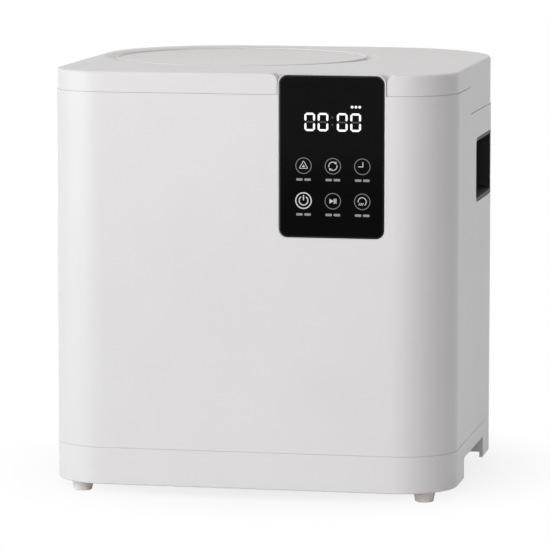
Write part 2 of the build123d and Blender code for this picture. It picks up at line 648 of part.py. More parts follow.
# ---------------------------------------------------------------- deck, well and bucket
def make_top_deck():
    """The inner top of the case: a raised table round the bucket and a gutter for the lid."""
    split = STEP_Y - 3
    table_front = prism(plan(WALL + TOUCH), DECK_TOP - DECK, DECK_TOP) & block(
        -SIDE, SIDE, FRONT, split, LEDGE_TOP, TOP)
    table_rear = prism(plan(DECK_INSET), DECK_TOP - DECK, DECK_TOP) & block(
        -SIDE, SIDE, split - 1, DECK_REAR, LEDGE_TOP, TOP)
    low = LEDGE_TOP - DECK
    wall = prism(plan(DECK_INSET), low, DECK_TOP) & block(-SIDE, SIDE, split, DECK_REAR, low, DECK_TOP)
    wall -= prism(plan(DECK_INSET + DECK), low, DECK_TOP) & block(
        -SIDE, SIDE, split - 1, DECK_REAR - DECK, low, DECK_TOP)
    step = block(-SIDE, SIDE, split - DECK, split, low, DECK_TOP) & prism(plan(WALL + TOUCH), low, DECK_TOP)
    step -= block(-SIDE + DECK_INSET + DECK, SIDE - DECK_INSET - DECK, FRONT, REAR, low, DECK_TOP)
    ledge = prism(plan(WALL + TOUCH), low, LEDGE_TOP) - (
        prism(plan(DECK_INSET + DECK), low, LEDGE_TOP) & block(-SIDE, SIDE, FRONT, DECK_REAR - DECK,
                                                               low, LEDGE_TOP))
    ledge &= block(-SIDE, SIDE, split - DECK, REAR, low, LEDGE_TOP)
    edge = RAIL_HALF + FIT
    ledge -= block(-edge, edge, HINGE_Y - HINGE_RADIUS - FIT, REAR, low - 1, LEDGE_TOP + 1)
    deck = table_front + table_rear + wall + step + ledge
    deck -= disc(BUCKET_X, BUCKET_Y, DECK_BORE, LEDGE_TOP, TOP)
    deck -= block(TONGUE_LEFT - FIT, TONGUE_RIGHT + FIT, FRONT, TONGUE_BACK + FIT, LEDGE_TOP, TOP)
    return deck - bar(-SWING_HALF, SWING_HALF, HINGE_Y, HINGE_Z, SWING_RADIUS)


def make_bucket_well():
    low, high = WELL_LOW, DECK_TOP - DECK
    inner, outer = WELL_RADIUS, WELL_RADIUS + WELL_WALL
    points = [(15, low), (outer, low), (outer, high - 2), (outer + WELL_FLANGE, high - 2),
              (outer + WELL_FLANGE, high), (inner, high), (inner, low + WELL_WALL), (15, low + WELL_WALL)]
    well = spun(points, [((outer, low), 6.0), ((inner, low + WELL_WALL), 4.5)])
    return well - port_hole(WELL_RADIUS - 6, WELL_RADIUS + 6)


def port_hole(near, far, margin=0.0):
    """The air passage from the bucket towards the duct, as a solid."""
    passage = Pos((near + far) / 2, 0, (PORT_LOW + PORT_TOP) / 2) * Box(
        far - near, PORT_WIDTH + 2 * margin, PORT_TOP - PORT_LOW + 2 * margin)
    return Pos(BUCKET_X, BUCKET_Y, 0) * Rot(0, 0, degrees(PORT_AIM)) * passage


def make_bucket():
    low, high = BUCKET_LOW, DECK_TOP
    foot, top = BUCKET_RADIUS - BUCKET_DRAFT, BUCKET_RADIUS
    wall = BUCKET_WALL
    post = CHIMNEY_RADIUS - CHIMNEY_WALL
    points = [(post, low), (foot, low), (top, high), (RIM_RADIUS, high), (RIM_RADIUS, high + RIM),
              (top - wall, high + RIM), (foot - wall, low + 2), (CHIMNEY_RADIUS, low + 2),
              (CHIMNEY_RADIUS, low + CHIMNEY_HEIGHT), (post, low + CHIMNEY_HEIGHT)]
    bucket = spun(points, [((foot, low), 9.0), ((foot - wall, low + 2), 7.5)])
    for slot in range(5):
        hole = Pos(BUCKET_RADIUS, 4.6 * (slot - 2), (PORT_LOW + PORT_TOP) / 2) * Box(12, 2.4, 12)
        bucket -= Pos(BUCKET_X, BUCKET_Y, 0) * Rot(0, 0, degrees(PORT_AIM)) * hole
    for side in (-1, 1):
        ends = sorted((side * (BAIL_RADIUS + BAIL_WIRE), side * (BUCKET_RADIUS - 0.5)))
        bucket += Pos(BUCKET_X, BUCKET_Y, 0) * bar(*ends, 0, BAIL_Z, EAR_RADIUS)
    return bucket


def make_bucket_bail():
    """The bucket's wire handle, folded down against the inside of its wall."""
    path = ThreePointArc((-BAIL_RADIUS, 0, BAIL_Z), (0, -BAIL_RADIUS, BAIL_Z), (BAIL_RADIUS, 0, BAIL_Z))
    wire = sweep(Plane(origin=path @ 0, z_dir=path % 0) * Circle(BAIL_WIRE), path)
    return Pos(BUCKET_X, BUCKET_Y, 0) * wire


def make_heater_ring():
    heater = ring(BUCKET_X, BUCKET_Y, HEATER_OUTER, HEATER_INNER, WELL_LOW - HEATER, WELL_LOW)
    for turn in (0.4, 1.0):
        x, y = BUCKET_X + 60 * cos(turn), BUCKET_Y - 60 * sin(turn)
        heater += disc(x, y, 2.5, WELL_LOW - 9, WELL_LOW - HEATER)
    return heater


def make_thermostat():
    puck = disc(BUCKET_X - 28, BUCKET_Y - 10, 8.0, WELL_LOW - 7, WELL_LOW)
    return puck + block(BUCKET_X - 32, BUCKET_X - 24, BUCKET_Y - 11, BUCKET_Y - 9, WELL_LOW - 9, WELL_LOW - 7)


def make_shaft_seal():
    return ring(BUCKET_X, BUCKET_Y, 15.0, SHAFT_RADIUS + RUN, COVER_TOP + 4, WELL_LOW + WELL_WALL)


# ---------------------------------------------------------------- drive
def involute(angle):
    return tan(angle) - angle


def half_tooth(radius, teeth, module):
    """Half the angle that a tooth fills at a radius."""
    pitch = module * teeth / 2
    base = pitch * cos(PRESSURE)
    at = acos(min(1.0, base / radius)) if radius > base else 0.0
    return pi / (2 * teeth) - BACKLASH / (2 * pitch) + involute(PRESSURE) - involute(at)


def gear(x, y, teeth, module, phase, low, face):
    """A spur gear with involute flanks, with one tooth turned to phase degrees."""
    pitch = module * teeth / 2
    root, tip = pitch - DEDENDUM * module, pitch + ADDENDUM * module
    base = max(pitch * cos(PRESSURE), root + 0.1)
    flank = [root, base, (base + tip) / 2, tip]
    points = []
    for tooth in range(teeth):
        middle = radians(phase) + 2 * pi * tooth / teeth
        for side, radii in ((-1, flank), (1, flank[::-1])):
            for radius in radii:
                turn = middle + side * half_tooth(radius, teeth, module)
                points.append((radius * cos(turn), radius * sin(turn)))
    return Pos(x, y, 0) * prism(make_face(Polyline(*points, close=True)), low, low + face)


def mesh_phase(phase, teeth, line, follower_teeth):
    """The phase that puts a following gear in mesh with one at the given phase."""
    return line + 180 - (phase - line) * teeth / follower_teeth + 180 / follower_teeth


def gear_phases():
    output = 0.0
    small = mesh_phase(output, OUTPUT_TEETH, IDLER_LINE, SMALL_TEETH)
    large = 0.0
    pinion = mesh_phase(large, LARGE_TEETH, MOTOR_LINE, PINION_TEETH)
    return output, small, large, pinion


def lightened(solid, x, y, ring_radius, hole_radius, count, low, high):
    """Cuts a ring of round holes through a gear's web."""
    for hole in range(count):
        turn = 2 * pi * hole / count
        solid -= disc(x + ring_radius * cos(turn), y + ring_radius * sin(turn), hole_radius, low, high)
    return solid


def make_output_gear():
    wheel = gear(BUCKET_X, BUCKET_Y, OUTPUT_TEETH, SLOW_MODULE, gear_phases()[0], SLOW_LOW, SLOW_FACE)
    wheel = lightened(wheel, BUCKET_X, BUCKET_Y, 21.0, 6.0, 6, SLOW_LOW, SLOW_LOW + SLOW_FACE)
    wheel += disc(BUCKET_X, BUCKET_Y, 11.0, SLOW_LOW + SLOW_FACE, COVER_TOP - 8)
    return wheel - disc(BUCKET_X, BUCKET_Y, SHAFT_RADIUS, SLOW_LOW, COVER_TOP)


def make_output_shaft():
    """The upright shaft: round through the gearbox and six-sided where it turns the agitator."""
    shaft = disc(BUCKET_X, BUCKET_Y, SHAFT_RADIUS, GEARBOX_LOW + 1, BUCKET_LOW)
    drive = RegularPolygon(DRIVE_FLATS / 2, 6, major_radius=False)
    shaft += Pos(BUCKET_X, BUCKET_Y, 0) * prism(drive, BUCKET_LOW, drive_top())
    return shaft


def drive_top():
    return BUCKET_LOW + CHIMNEY_HEIGHT + 9.0


def make_idler_gear():
    _, small, large, _ = gear_phases()
    gears = gear(IDLER_X, IDLER_Y, SMALL_TEETH, SLOW_MODULE, small, SLOW_LOW, SLOW_FACE)
    gears += disc(IDLER_X, IDLER_Y, 10.0, SLOW_LOW + SLOW_FACE, FAST_LOW)
    gears += lightened(gear(IDLER_X, IDLER_Y, LARGE_TEETH, FAST_MODULE, large, FAST_LOW, FAST_FACE),
                       IDLER_X, IDLER_Y, 20.0, 5.5, 6, FAST_LOW, FAST_LOW + FAST_FACE)
    return gears - disc(IDLER_X, IDLER_Y, IDLER_RADIUS, SLOW_LOW, FAST_LOW + FAST_FACE)


def make_idler_shaft():
    return disc(IDLER_X, IDLER_Y, IDLER_RADIUS, GEARBOX_LOW + 1, COVER_TOP)


def make_motor_pinion():
    pinion = gear(MOTOR_X, MOTOR_Y, PINION_TEETH, FAST_MODULE, gear_phases()[3], FAST_LOW, FAST_FACE)
    return pinion - disc(MOTOR_X, MOTOR_Y, MOTOR_SHAFT, FAST_LOW, FAST_LOW + FAST_FACE)


def make_motor_shaft():
    return disc(MOTOR_X, MOTOR_Y, MOTOR_SHAFT, MOTOR_LOW + 8, FAST_LOW + FAST_FACE + 1)


def gearbox_outline(margin):
    """The gearbox seen from above: a tight line round its three gears."""
    wheels = [(BUCKET_X, BUCKET_Y, SLOW_MODULE * (OUTPUT_TEETH / 2 + ADDENDUM)),
              (IDLER_X, IDLER_Y, FAST_MODULE * (LARGE_TEETH / 2 + ADDENDUM)),
              (MOTOR_X, MOTOR_Y, FAST_MODULE * (PINION_TEETH / 2 + ADDENDUM) + 4)]
    return make_hull([(Pos(x, y) * Circle(radius + margin)).edge() for x, y, radius in wheels])


def gear_axes():
    return [(BUCKET_X, BUCKET_Y, SHAFT_RADIUS), (IDLER_X, IDLER_Y, IDLER_RADIUS)]


def make_gearbox_housing():
    housing = prism(gearbox_outline(2 + GEARBOX_WALL), GEARBOX_LOW, GEARBOX_TOP)
    housing -= prism(gearbox_outline(2), GEARBOX_LOW + GEARBOX_WALL, GEARBOX_TOP)
    for x, y, radius in gear_axes():
        housing += disc(x, y, radius + 7, GEARBOX_LOW, SLOW_LOW - 0.5)
        housing -= disc(x, y, radius + 4, GEARBOX_LOW + 1, SLOW_LOW - 0.5)
        housing -= disc(x, y, radius + 1, GEARBOX_LOW, GEARBOX_LOW + 1)
    housing -= disc(MOTOR_X, MOTOR_Y, 8.0, GEARBOX_LOW, GEARBOX_LOW + GEARBOX_WALL)
    for x, y in cover_screws():
        housing += disc(x, y, BOSS_RADIUS, GEARBOX_LOW, GEARBOX_TOP)
    for x, y in cover_screws():
        housing -= disc(x, y, SCREW_RADIUS, GEARBOX_TOP - 14, GEARBOX_TOP)
    return housing


def cover_screws():
    """Screw places just outside the gearbox wall, at four points round it."""
    reach = SLOW_MODULE * (OUTPUT_TEETH / 2 + ADDENDUM) + 2 + GEARBOX_WALL + 1.5
    spots = [(BUCKET_X + reach * cos(radians(a)), BUCKET_Y + reach * sin(radians(a))) for a in (60, 175)]
    small = FAST_MODULE * (LARGE_TEETH / 2 + ADDENDUM) + 2 + GEARBOX_WALL + 1.5
    spots.append((IDLER_X + small * cos(radians(250)), IDLER_Y + small * sin(radians(250))))
    spots.append((MOTOR_X + 21.0, MOTOR_Y))
    return spots


def make_gearbox_cover():
    cover = prism(gearbox_outline(2 + GEARBOX_WALL), GEARBOX_TOP, COVER_TOP)
    for x, y in cover_screws():
        cover += disc(x, y, BOSS_RADIUS, GEARBOX_TOP, COVER_TOP)
    for x, y, radius in gear_axes():
        cover += disc(x, y, radius + 7, COVER_TOP - 6, COVER_TOP + 1)
        cover -= disc(x, y, radius + 4, COVER_TOP - 6, COVER_TOP)
    cover -= disc(BUCKET_X, BUCKET_Y, SHAFT_RADIUS + 1, COVER_TOP, COVER_TOP + 1)
    for x, y in cover_screws():
        cover -= disc(x, y, SCREW_RADIUS, GEARBOX_TOP, COVER_TOP)
    return cover


def make_cover_screws():
    screw = disc(0, 0, SCREW_HEAD, COVER_TOP, COVER_TOP + 1.8)
    screw += disc(0, 0, SCREW_RADIUS, GEARBOX_TOP - 14, COVER_TOP)
    return group([Pos(x, y, 0) * screw for x, y in cover_screws()])


def make_bearings():
    rings = []
    for x, y, radius in gear_axes():
        rings.append(ring(x, y, radius + 4, radius + RUN, GEARBOX_LOW + 1, SLOW_LOW - 1))
        rings.append(ring(x, y, radius + 4, radius + RUN, COVER_TOP - 5, COVER_TOP))
    return group(rings)


def make_motor():
    """The drive motor: a drawn can with end caps, hung under the gearbox."""
    top = GEARBOX_LOW
    can = disc(MOTOR_X, MOTOR_Y, MOTOR_RADIUS, MOTOR_LOW, top - 2)
    can = fillet(can.edges().group_by(Axis.Z)[0], 2.0)
    can += disc(MOTOR_X, MOTOR_Y, MOTOR_RADIUS - 6, top - 2, top)
    can -= ring(MOTOR_X, MOTOR_Y, MOTOR_RADIUS + 1, MOTOR_RADIUS - 1, top - 12, top - 10)
    for ear in (60, 180, 300):
        x = MOTOR_X + (MOTOR_RADIUS - 8) * cos(radians(ear))
        y = MOTOR_Y + (MOTOR_RADIUS - 8) * sin(radians(ear))
        can += disc(x, y, 3.5, top - 2, top)
    return can - disc(MOTOR_X, MOTOR_Y, MOTOR_SHAFT + RUN, MOTOR_LOW + 8, top)


# ---------------------------------------------------------------- agitator
def make_agitator():
    """The one-piece stirrer: a hub, two long arms with upright scrapers and two short arms."""
    low = BUCKET_LOW + 2 + AGITATOR_GAP - 1.5
    cavity = CHIMNEY_RADIUS + 0.8
    roof = BUCKET_LOW + CHIMNEY_HEIGHT + 0.7
    top = drive_top() + 2
    shoulder = (HUB_LOW_RADIUS, low + HUB_FLARE)
    points = [(cavity, low), (HUB_LOW_RADIUS, low), shoulder, (HUB_TOP_RADIUS, top), (0, top), (0, roof),
              (cavity, roof)]
    stirrer = spun(points, [(shoulder, 3.0)])
    for arm in agitator_arms():
        stirrer += Pos(BUCKET_X, BUCKET_Y, 0) * arm
    socket = RegularPolygon(DRIVE_FLATS / 2 + RUN, 6, major_radius=False)
    stirrer -= Pos(BUCKET_X, BUCKET_Y, 0) * prism(socket, roof - 1, drive_top())
    return stirrer


def agitator_arms():
    floor = BUCKET_LOW + 2 + AGITATOR_GAP
    long_arm = blade(AGITATOR_REACH - 3, 35, floor + 8, 13, 4.0)
    long_arm += rounded_z(AGITATOR_REACH - 7, AGITATOR_REACH - 2.5, -5, 5, floor + 4, floor + 58, 2.0)
    short_arm = blade(AGITATOR_REACH - 22, -40, floor + 18, 12, 3.6)
    arms = [Rot(0, 0, turn + 20) * long_arm for turn in (0, 180)]
    return arms + [Rot(0, 0, turn + 110) * short_arm for turn in (0, 180)]


def blade(reach, pitch, high, tall, thick):
    """A tapered, pitched arm that starts inside the hub's wall."""
    root = Plane(origin=(HUB_LOW_RADIUS - 5, 0, high), x_dir=(0, 1, 0), z_dir=(1, 0, 0))
    tip = Plane(origin=(reach, 0, high), x_dir=(0, 1, 0), z_dir=(1, 0, 0))
    wide = Rot(0, 0, pitch) * RectangleRounded(thick * 1.5, tall, thick / 2)
    thin = Rot(0, 0, pitch * 0.6) * RectangleRounded(thick, tall * 0.8, thick / 2.5)
    return loft([root * wide, tip * thin])


def make_agitator_cap():
    top = drive_top() + 2
    cap = Pos(BUCKET_X, BUCKET_Y, top + 4) * Cone(HUB_TOP_RADIUS, HUB_TOP_RADIUS - 5, 8)
    return fillet(cap.edges().group_by(Axis.Z)[-1], 3.0)


# ---------------------------------------------------------------- filter drawer
def make_filter_bay():
    """The fixed sleeve that the filter drawer slides in."""
    left, right = BAY_LEFT - DRAWER_WALL, BAY_RIGHT + DRAWER_WALL
    low, high = BAY_LOW - DRAWER_WALL, BAY_TOP + DRAWER_WALL
    bay = block(left, right, BAY_FRONT - DRAWER_WALL, FLANGE_FRONT, low, high)
    bay -= block(BAY_LEFT, BAY_RIGHT, BAY_FRONT, FLANGE_FRONT, BAY_LOW, BAY_TOP)
    for y in (BAY_FRONT + 4, FLANGE_FRONT - 8):
        bay += block(left, right, y, y + 3, BASE_TOP, low)
    return bay - bar(BAY_RIGHT - 1, right + 1, FAN_Y, FAN_Z, FAN_BORE - 2)


def make_drawer_frame():
    wall = DRAWER_WALL
    face_front = REAR - WALL - 0.4
    frame = block(DRAWER_LEFT, DRAWER_RIGHT, DRAWER_FRONT, REAR, DRAWER_LOW, DRAWER_TOP)
    frame -= block(DRAWER_LEFT + wall, DRAWER_RIGHT - wall, DRAWER_FRONT + wall, face_front,
                   DRAWER_LOW + wall, DRAWER_TOP + 1)
    frame = chamfer(frame.faces().sort_by(Axis.Y)[-1].outer_wire().edges(), SEAM_BEVEL)
    for column in range(9):
        x = DRAWER_LEFT + 8 + 6.0 * column
        frame -= rounded_y(x - 1.2, x + 1.2, face_front - 1, REAR + 1, DRAWER_LOW + 6, DRAWER_TOP - 18, 1.1)
    middle = (DRAWER_LEFT + DRAWER_RIGHT) / 2
    pull = rounded_y(middle - 16, middle + 16, face_front - 6, REAR - 0.1, DRAWER_TOP - 14, DRAWER_TOP - 3, 3)
    frame += pull
    frame -= rounded_y(middle - 14, middle + 14, face_front - 4, REAR + 1, DRAWER_TOP - 12, DRAWER_TOP - 5, 2)
    return frame - bar(DRAWER_RIGHT - wall - 1, DRAWER_RIGHT + 1, FAN_Y, FAN_Z, FAN_BORE - 4)


def make_carbon_block():
    wall = DRAWER_WALL + 0.3
    return rounded_z(DRAWER_LEFT + wall, DRAWER_RIGHT - wall, DRAWER_FRONT + wall, REAR - 18,
                     DRAWER_LOW + DRAWER_WALL, DRAWER_TOP - 18, 3)


def make_filter_pad():
    wall = DRAWER_WALL + 0.3
    return block(DRAWER_LEFT + wall, DRAWER_RIGHT - wall, REAR - 17.7, REAR - WALL - 0.7,
                 DRAWER_LOW + DRAWER_WALL, DRAWER_TOP - 18)


# ---------------------------------------------------------------- fan and duct
def make_fan_frame():
    frame = block(FAN_LEFT, FAN_RIGHT, FAN_Y - FAN_HALF, FAN_Y + FAN_HALF, FAN_Z - FAN_HALF, FAN_Z + FAN_HALF)
    frame = fillet(frame.edges().filter_by(Axis.X), 3.0)
    frame -= bar(FAN_LEFT, FAN_RIGHT, FAN_Y, FAN_Z, FAN_BORE)
    frame += bar(FAN_LEFT, FAN_LEFT + 3, FAN_Y, FAN_Z, FAN_HUB)
    for turn in (45, 135):
        strut = Box(2.5, 2 * FAN_BORE + 2, 3.0)
        frame += Pos(FAN_LEFT + 1.25, FAN_Y, FAN_Z) * Rot(turn, 0, 0) * strut
    return frame + bar(FAN_LEFT + 3, FAN_RIGHT - 1, FAN_Y, FAN_Z, PIN_RADIUS)


def make_fan_impeller():
    left, right = FAN_LEFT + 3.6, FAN_RIGHT - 0.8
    middle = (left + right) / 2
    hub = bar(left, right, FAN_Y, FAN_Z, FAN_HUB)
    vane = Pos(0, 0, (FAN_HUB + FAN_BORE) / 2 - 0.5) * Rot(0, 0, 38) * Box(11.5, 1.4, FAN_BORE - FAN_HUB)
    for turn in range(FAN_BLADES):
        hub += Pos(middle, FAN_Y, FAN_Z) * Rot(360.0 * turn / FAN_BLADES, 0, 0) * vane
    hub &= bar(left, right, FAN_Y, FAN_Z, FAN_BORE - 0.8)
    return hub - bar(left, right, FAN_Y, FAN_Z, PIN_RADIUS + RUN)


def make_fan_gasket():
    left, right = BAY_RIGHT + DRAWER_WALL, FAN_LEFT
    pad = block(left, right, FAN_Y - FAN_HALF + 1, FAN_Y + FAN_HALF - 1.2, FAN_Z - FAN_HALF + 1.8,
                FAN_Z + FAN_HALF - 1)
    return pad - bar(left, right, FAN_Y, FAN_Z, FAN_BORE)


def duct_footprint(inset):
    """The plenum beside the fan, seen from above, with its rear corner cut off."""
    left = FAN_RIGHT + inset
    right = DUCT_X + DUCT_SIDE / 2 - inset
    front = FAN_Y - FAN_HALF + inset
    rear = FAN_Y + FAN_HALF - 1 - inset
    corner = DUCT_Y + DUCT_SIDE / 2
    return make_face(Polyline((left, front), (right, front), (right, corner), (DUCT_X - DUCT_CORNER, rear),
                              (left, rear), close=True))


def make_exhaust_duct():
    """The air duct from the bucket's side, down to the plenum at the fan's mouth."""
    low, shoulder = FAN_Z - FAN_HALF, FAN_Z + FAN_HALF
    near, far = WELL_RADIUS + WELL_WALL + 0.6, PORT_REACH
    half = DUCT_SIDE / 2
    tower = block(DUCT_X - half, DUCT_X + half, DUCT_Y - half, DUCT_Y + half, shoulder - 1, DECK_TOP - DECK)
    solid = prism(duct_footprint(0), low, shoulder) + tower + port_hole(near, far, DUCT_WALL)
    wall = DUCT_WALL
    inner = block(DUCT_X - half + wall, DUCT_X + half - wall, DUCT_Y - half + wall, DUCT_Y + half - wall,
                  low + wall, DECK_TOP - DECK - wall)
    solid -= prism(duct_footprint(wall), low + wall, shoulder - wall) + inner
    solid -= port_hole(near - 1, far - wall)
    return solid - bar(FAN_RIGHT - 1, FAN_RIGHT + 3, FAN_Y, FAN_Z, FAN_BORE)


# ---------------------------------------------------------------- electrics
def make_main_board():
    low = BASE_TOP + BOARD_RISE
    board = rounded_z(BOARD_LEFT, BOARD_LEFT + BOARD_WIDE, BOARD_FRONT, BOARD_FRONT + BOARD_LONG,
                      low, low + BOARD, 2)
    for x, y in board_posts():
        board -= disc(x, y, 1.6, low, low + BOARD)
    return board


def on_board(x, y, wide, long, tall):
    """A block on the main board. x and wide are shares of its width, y is from its front edge."""
    left, front, low = BOARD_LEFT + x * BOARD_WIDE, BOARD_FRONT + y, BASE_TOP + BOARD_RISE + BOARD
    return block(left, left + wide * BOARD_WIDE, front, front + long, low, low + tall)


def make_transformer():
    core = on_board(0.13, 18, 0.67, 32, 27) + on_board(0.23, 14, 0.47, 40, 22)
    return fillet(core.edges().filter_by(Axis.Z), 1.0)


def make_capacitors():
    low = BASE_TOP + BOARD_RISE + BOARD
    cans = []
    for x, y, radius, tall in ((0.33, 68, 0.115, 26), (0.6, 68, 0.115, 26), (0.83, 66, 0.08, 16)):
        can = disc(BOARD_LEFT + x * BOARD_WIDE, BOARD_FRONT + y, radius * BOARD_WIDE, low, low + tall)
        cans.append(fillet(can.edges().group_by(Axis.Z)[-1], 0.8))
    return group(cans)


def make_relays():
    return group([on_board(x, 84, 0.22, 20, 16) for x in (0.23, 0.53)])


def make_heat_sink():
    sink = on_board(0.03, 56, 0.05, 44, 30)
    for fin in range(5):
        sink += on_board(0.07, 58 + 9.8 * fin, 0.06, 1.6, 30)
    return sink


def make_display_board():
    left, right = TONGUE_LEFT + TONGUE_SKIN + FIT, TONGUE_RIGHT - TONGUE_SKIN - FIT
    front = FRONT + TONGUE_WALL + 0.6
    return block(left, right, front, front + BOARD, GLASS_LOW + 6, GLASS_TOP - 8)


def make_digit_module():
    front = FRONT + GLASS_SINK + GLASS
    back = FRONT + TONGUE_WALL + 0.6
    low = GLASS_LOW + DIGITS_RISE
    return block(GLASS_LEFT + DIGITS_INSET, GLASS_RIGHT - DIGITS_INSET, front + 0.2, back, low,
                 low + DIGITS_HEIGHT)


def make_touch_pads():
    front = FRONT + GLASS_SINK + GLASS
    pads = []
    depth = FRONT + TONGUE_WALL + 0.6 - front
    for row in range(2):
        z = GLASS_LOW + KEY_LOW_RISE + KEY_ROW_PITCH * row
        for column in range(3):
            x = GLASS_LEFT + KEY_INSET + KEY_PITCH * column
            pads.append(Pos(x, front + depth / 2, z) * Rot(90, 0, 0) * Cylinder(KEY_RADIUS, depth))
    return group(pads)


def make_display_glass():
    glass = rounded_y(GLASS_LEFT, GLASS_RIGHT, FRONT + GLASS_SINK, FRONT + GLASS_SINK + GLASS,
                      GLASS_LOW, GLASS_TOP, GLASS_RADIUS - 0.1)
    return chamfer(glass.faces().sort_by(Axis.Y)[0].outer_wire().edges(), 0.5)


def make_lid_switch():
    top = DECK_TOP - DECK
    left, front = SWITCH_INSET[0] - SIDE, FRONT + SWITCH_INSET[1]
    return block(left, left + 20, front, front + 10, top - 12, top)


def magnet_pair(low):
    x, y = SIDE - MAGNET_INSET[0], FRONT + MAGNET_INSET[1]
    return [disc(side * x, y, MAGNET_RADIUS, low, low + MAGNET_HEIGHT) for side in (-1, 1)]


def make_deck_magnets():
    top = DECK_TOP - DECK
    return group(magnet_pair(top - MAGNET_HEIGHT))


# ---------------------------------------------------------------- lid
def make_lid_top():
    low = REAR_JOINT + SEAM / 2
    front_low = LID_JOINT + SEAM / 2
    lid = prism(plan(LID_INSET), low, TOP)
    lid = fillet(lid.edges().group_by(Axis.Z)[-1], LID_EDGE)
    lid -= block(-WIDTH, WIDTH, -DEPTH, STEP_Y, low - 1, front_low)
    lid = chamfer(outline_edges(lid, front_low), SEAM_BEVEL)
    lid = chamfer(outline_edges(lid, low), SEAM_BEVEL)
    lid -= dish()
    lid = fillet(dish_rim(lid), DISH_ROUND)
    lid -= notch(0.0)
    cavity = prism(plan(LID_INSET + WALL), low - 1, TOP - WALL)
    cavity -= disc(DISH_X, DISH_Y, DISH_RADIUS + 3, TOP - DISH_DEPTH - WALL, TOP)
    cavity -= notch(WALL)
    lid -= cavity
    for x, y in LID_SCREWS:
        lid += disc(x, y, BOSS_RADIUS, LINER_LOW + LINER, TOP - WALL)
        lid -= disc(x, y, SCREW_RADIUS, LINER_LOW + LINER, TOP - WALL - 2)
    return lid_knuckles(lid)


def dish():
    """The round hollow in the lid: a ramp down to a groove round a slightly hollow disc."""
    rise = DISH_DEPTH - DISC_DROP
    cut = Pos(0, 0, TOP - DISH_DEPTH / 2) * Cone(RAMP_FOOT, DISH_RADIUS, DISH_DEPTH)
    plate = Pos(0, 0, TOP - DISH_DEPTH + rise / 2) * Cone(DISC_FOOT, DISC_RADIUS, rise)
    plate -= Pos(0, 0, TOP - DISC_DROP - DISC_HOLLOW + HOLLOW_CURVE) * Rot(90, 0, 0) * Sphere(HOLLOW_CURVE)
    return Pos(DISH_X, DISH_Y, 0) * (cut - plate)


def dish_rim(lid):
    """The circle where the dish meets the lid's flat top."""
    level = [e for e in lid.edges().filter_by(GeomType.CIRCLE) if abs((e @ 0).Z - TOP) < 0.01]
    return [e for e in level if abs(e.radius - DISH_RADIUS) < 0.01]


def notch(grow):
    """The lid's front notch for the tongue, with its two top corners flared."""
    gap = NOTCH_GAP + grow
    left, right, back = TONGUE_LEFT - gap, TONGUE_RIGHT + gap, TONGUE_BACK + gap
    cut = block(left, right, FRONT - 1, back, LINER_LOW - 30, TOP + 1)
    if grow:
        return cut
    for x, side in ((left, -1), (right, 1)):
        ends = sorted((x, x + side * NOTCH_FLARE))
        flare = block(*ends, FRONT - 1, back, TOP - NOTCH_FLARE, TOP + 1)
        flare -= Pos(x + side * NOTCH_FLARE, (FRONT - 1 + back) / 2, TOP - NOTCH_FLARE) * Rot(90, 0, 0) \
            * Cylinder(NOTCH_FLARE, DEPTH)
        cut += flare
    return cut


def lid_knuckles(lid):
    """Cuts the lid round the fixed knuckles and adds its own two."""
    clear = HINGE_RADIUS + 0.6
    for x, half in fixed_knuckles():
        half += KNUCKLE_GAP
        lid -= bar(x - half, x + half, HINGE_Y, HINGE_Z, clear)
        lid -= block(x - half, x + half, HINGE_Y - clear, REAR + 1, HINGE_Z - 10, HINGE_Z)
    for side in (-1, 1):
        x, half = side * KNUCKLE_X, LID_KNUCKLE / 2
        back = REAR - LID_INSET
        web = block(x - half, x + half, HINGE_Y - HINGE_RADIUS, back, HINGE_Z, HINGE_Z + 12)
        lid += bar(x - half, x + half, HINGE_Y, HINGE_Z, HINGE_RADIUS) + web
        lid -= bar(x - half, x + half, HINGE_Y, HINGE_Z, PIN_RADIUS + RUN)
    return lid


def make_lid_liner():
    liner = prism(plan(LID_INSET + WALL + FIT), LINER_LOW, LINER_LOW + LINER)
    liner -= notch(WALL + FIT)
    liner -= ring(BUCKET_X, BUCKET_Y, SEAL_SEAT + SEAL_WIDTH, SEAL_SEAT, LINER_LOW, LINER_LOW + 1)
    for x, y in LID_SCREWS:
        liner -= disc(x, y, SCREW_RADIUS, LINER_LOW, LINER_LOW + LINER)
    return liner


def make_lid_seal():
    """The rubber ring in the liner's groove, with a lip that leans in to the bucket's rim."""
    inner, outer = SEAL_SEAT + FIT, SEAL_SEAT + SEAL_WIDTH - FIT
    low = RIM_TOP + SEAL_GAP
    root = ring(BUCKET_X, BUCKET_Y, outer, inner, LINER_LOW, LINER_LOW + 1)
    lip = Cone(inner + 2.0, outer - 0.6, LINER_LOW - low) - Cone(inner, outer - 2.2, LINER_LOW - low)
    return root + Pos(BUCKET_X, BUCKET_Y, (low + LINER_LOW) / 2) * lip


def make_lid_magnets():
    low = LINER_LOW + LINER
    return group(magnet_pair(low))


def make_lid_screws():
    screw = disc(0, 0, SCREW_HEAD, LINER_LOW - 1.4, LINER_LOW)
    screw += disc(0, 0, SCREW_RADIUS, LINER_LOW, TOP - WALL - 3)
    return group([Pos(x, y, 0) * screw for x, y in LID_SCREWS])


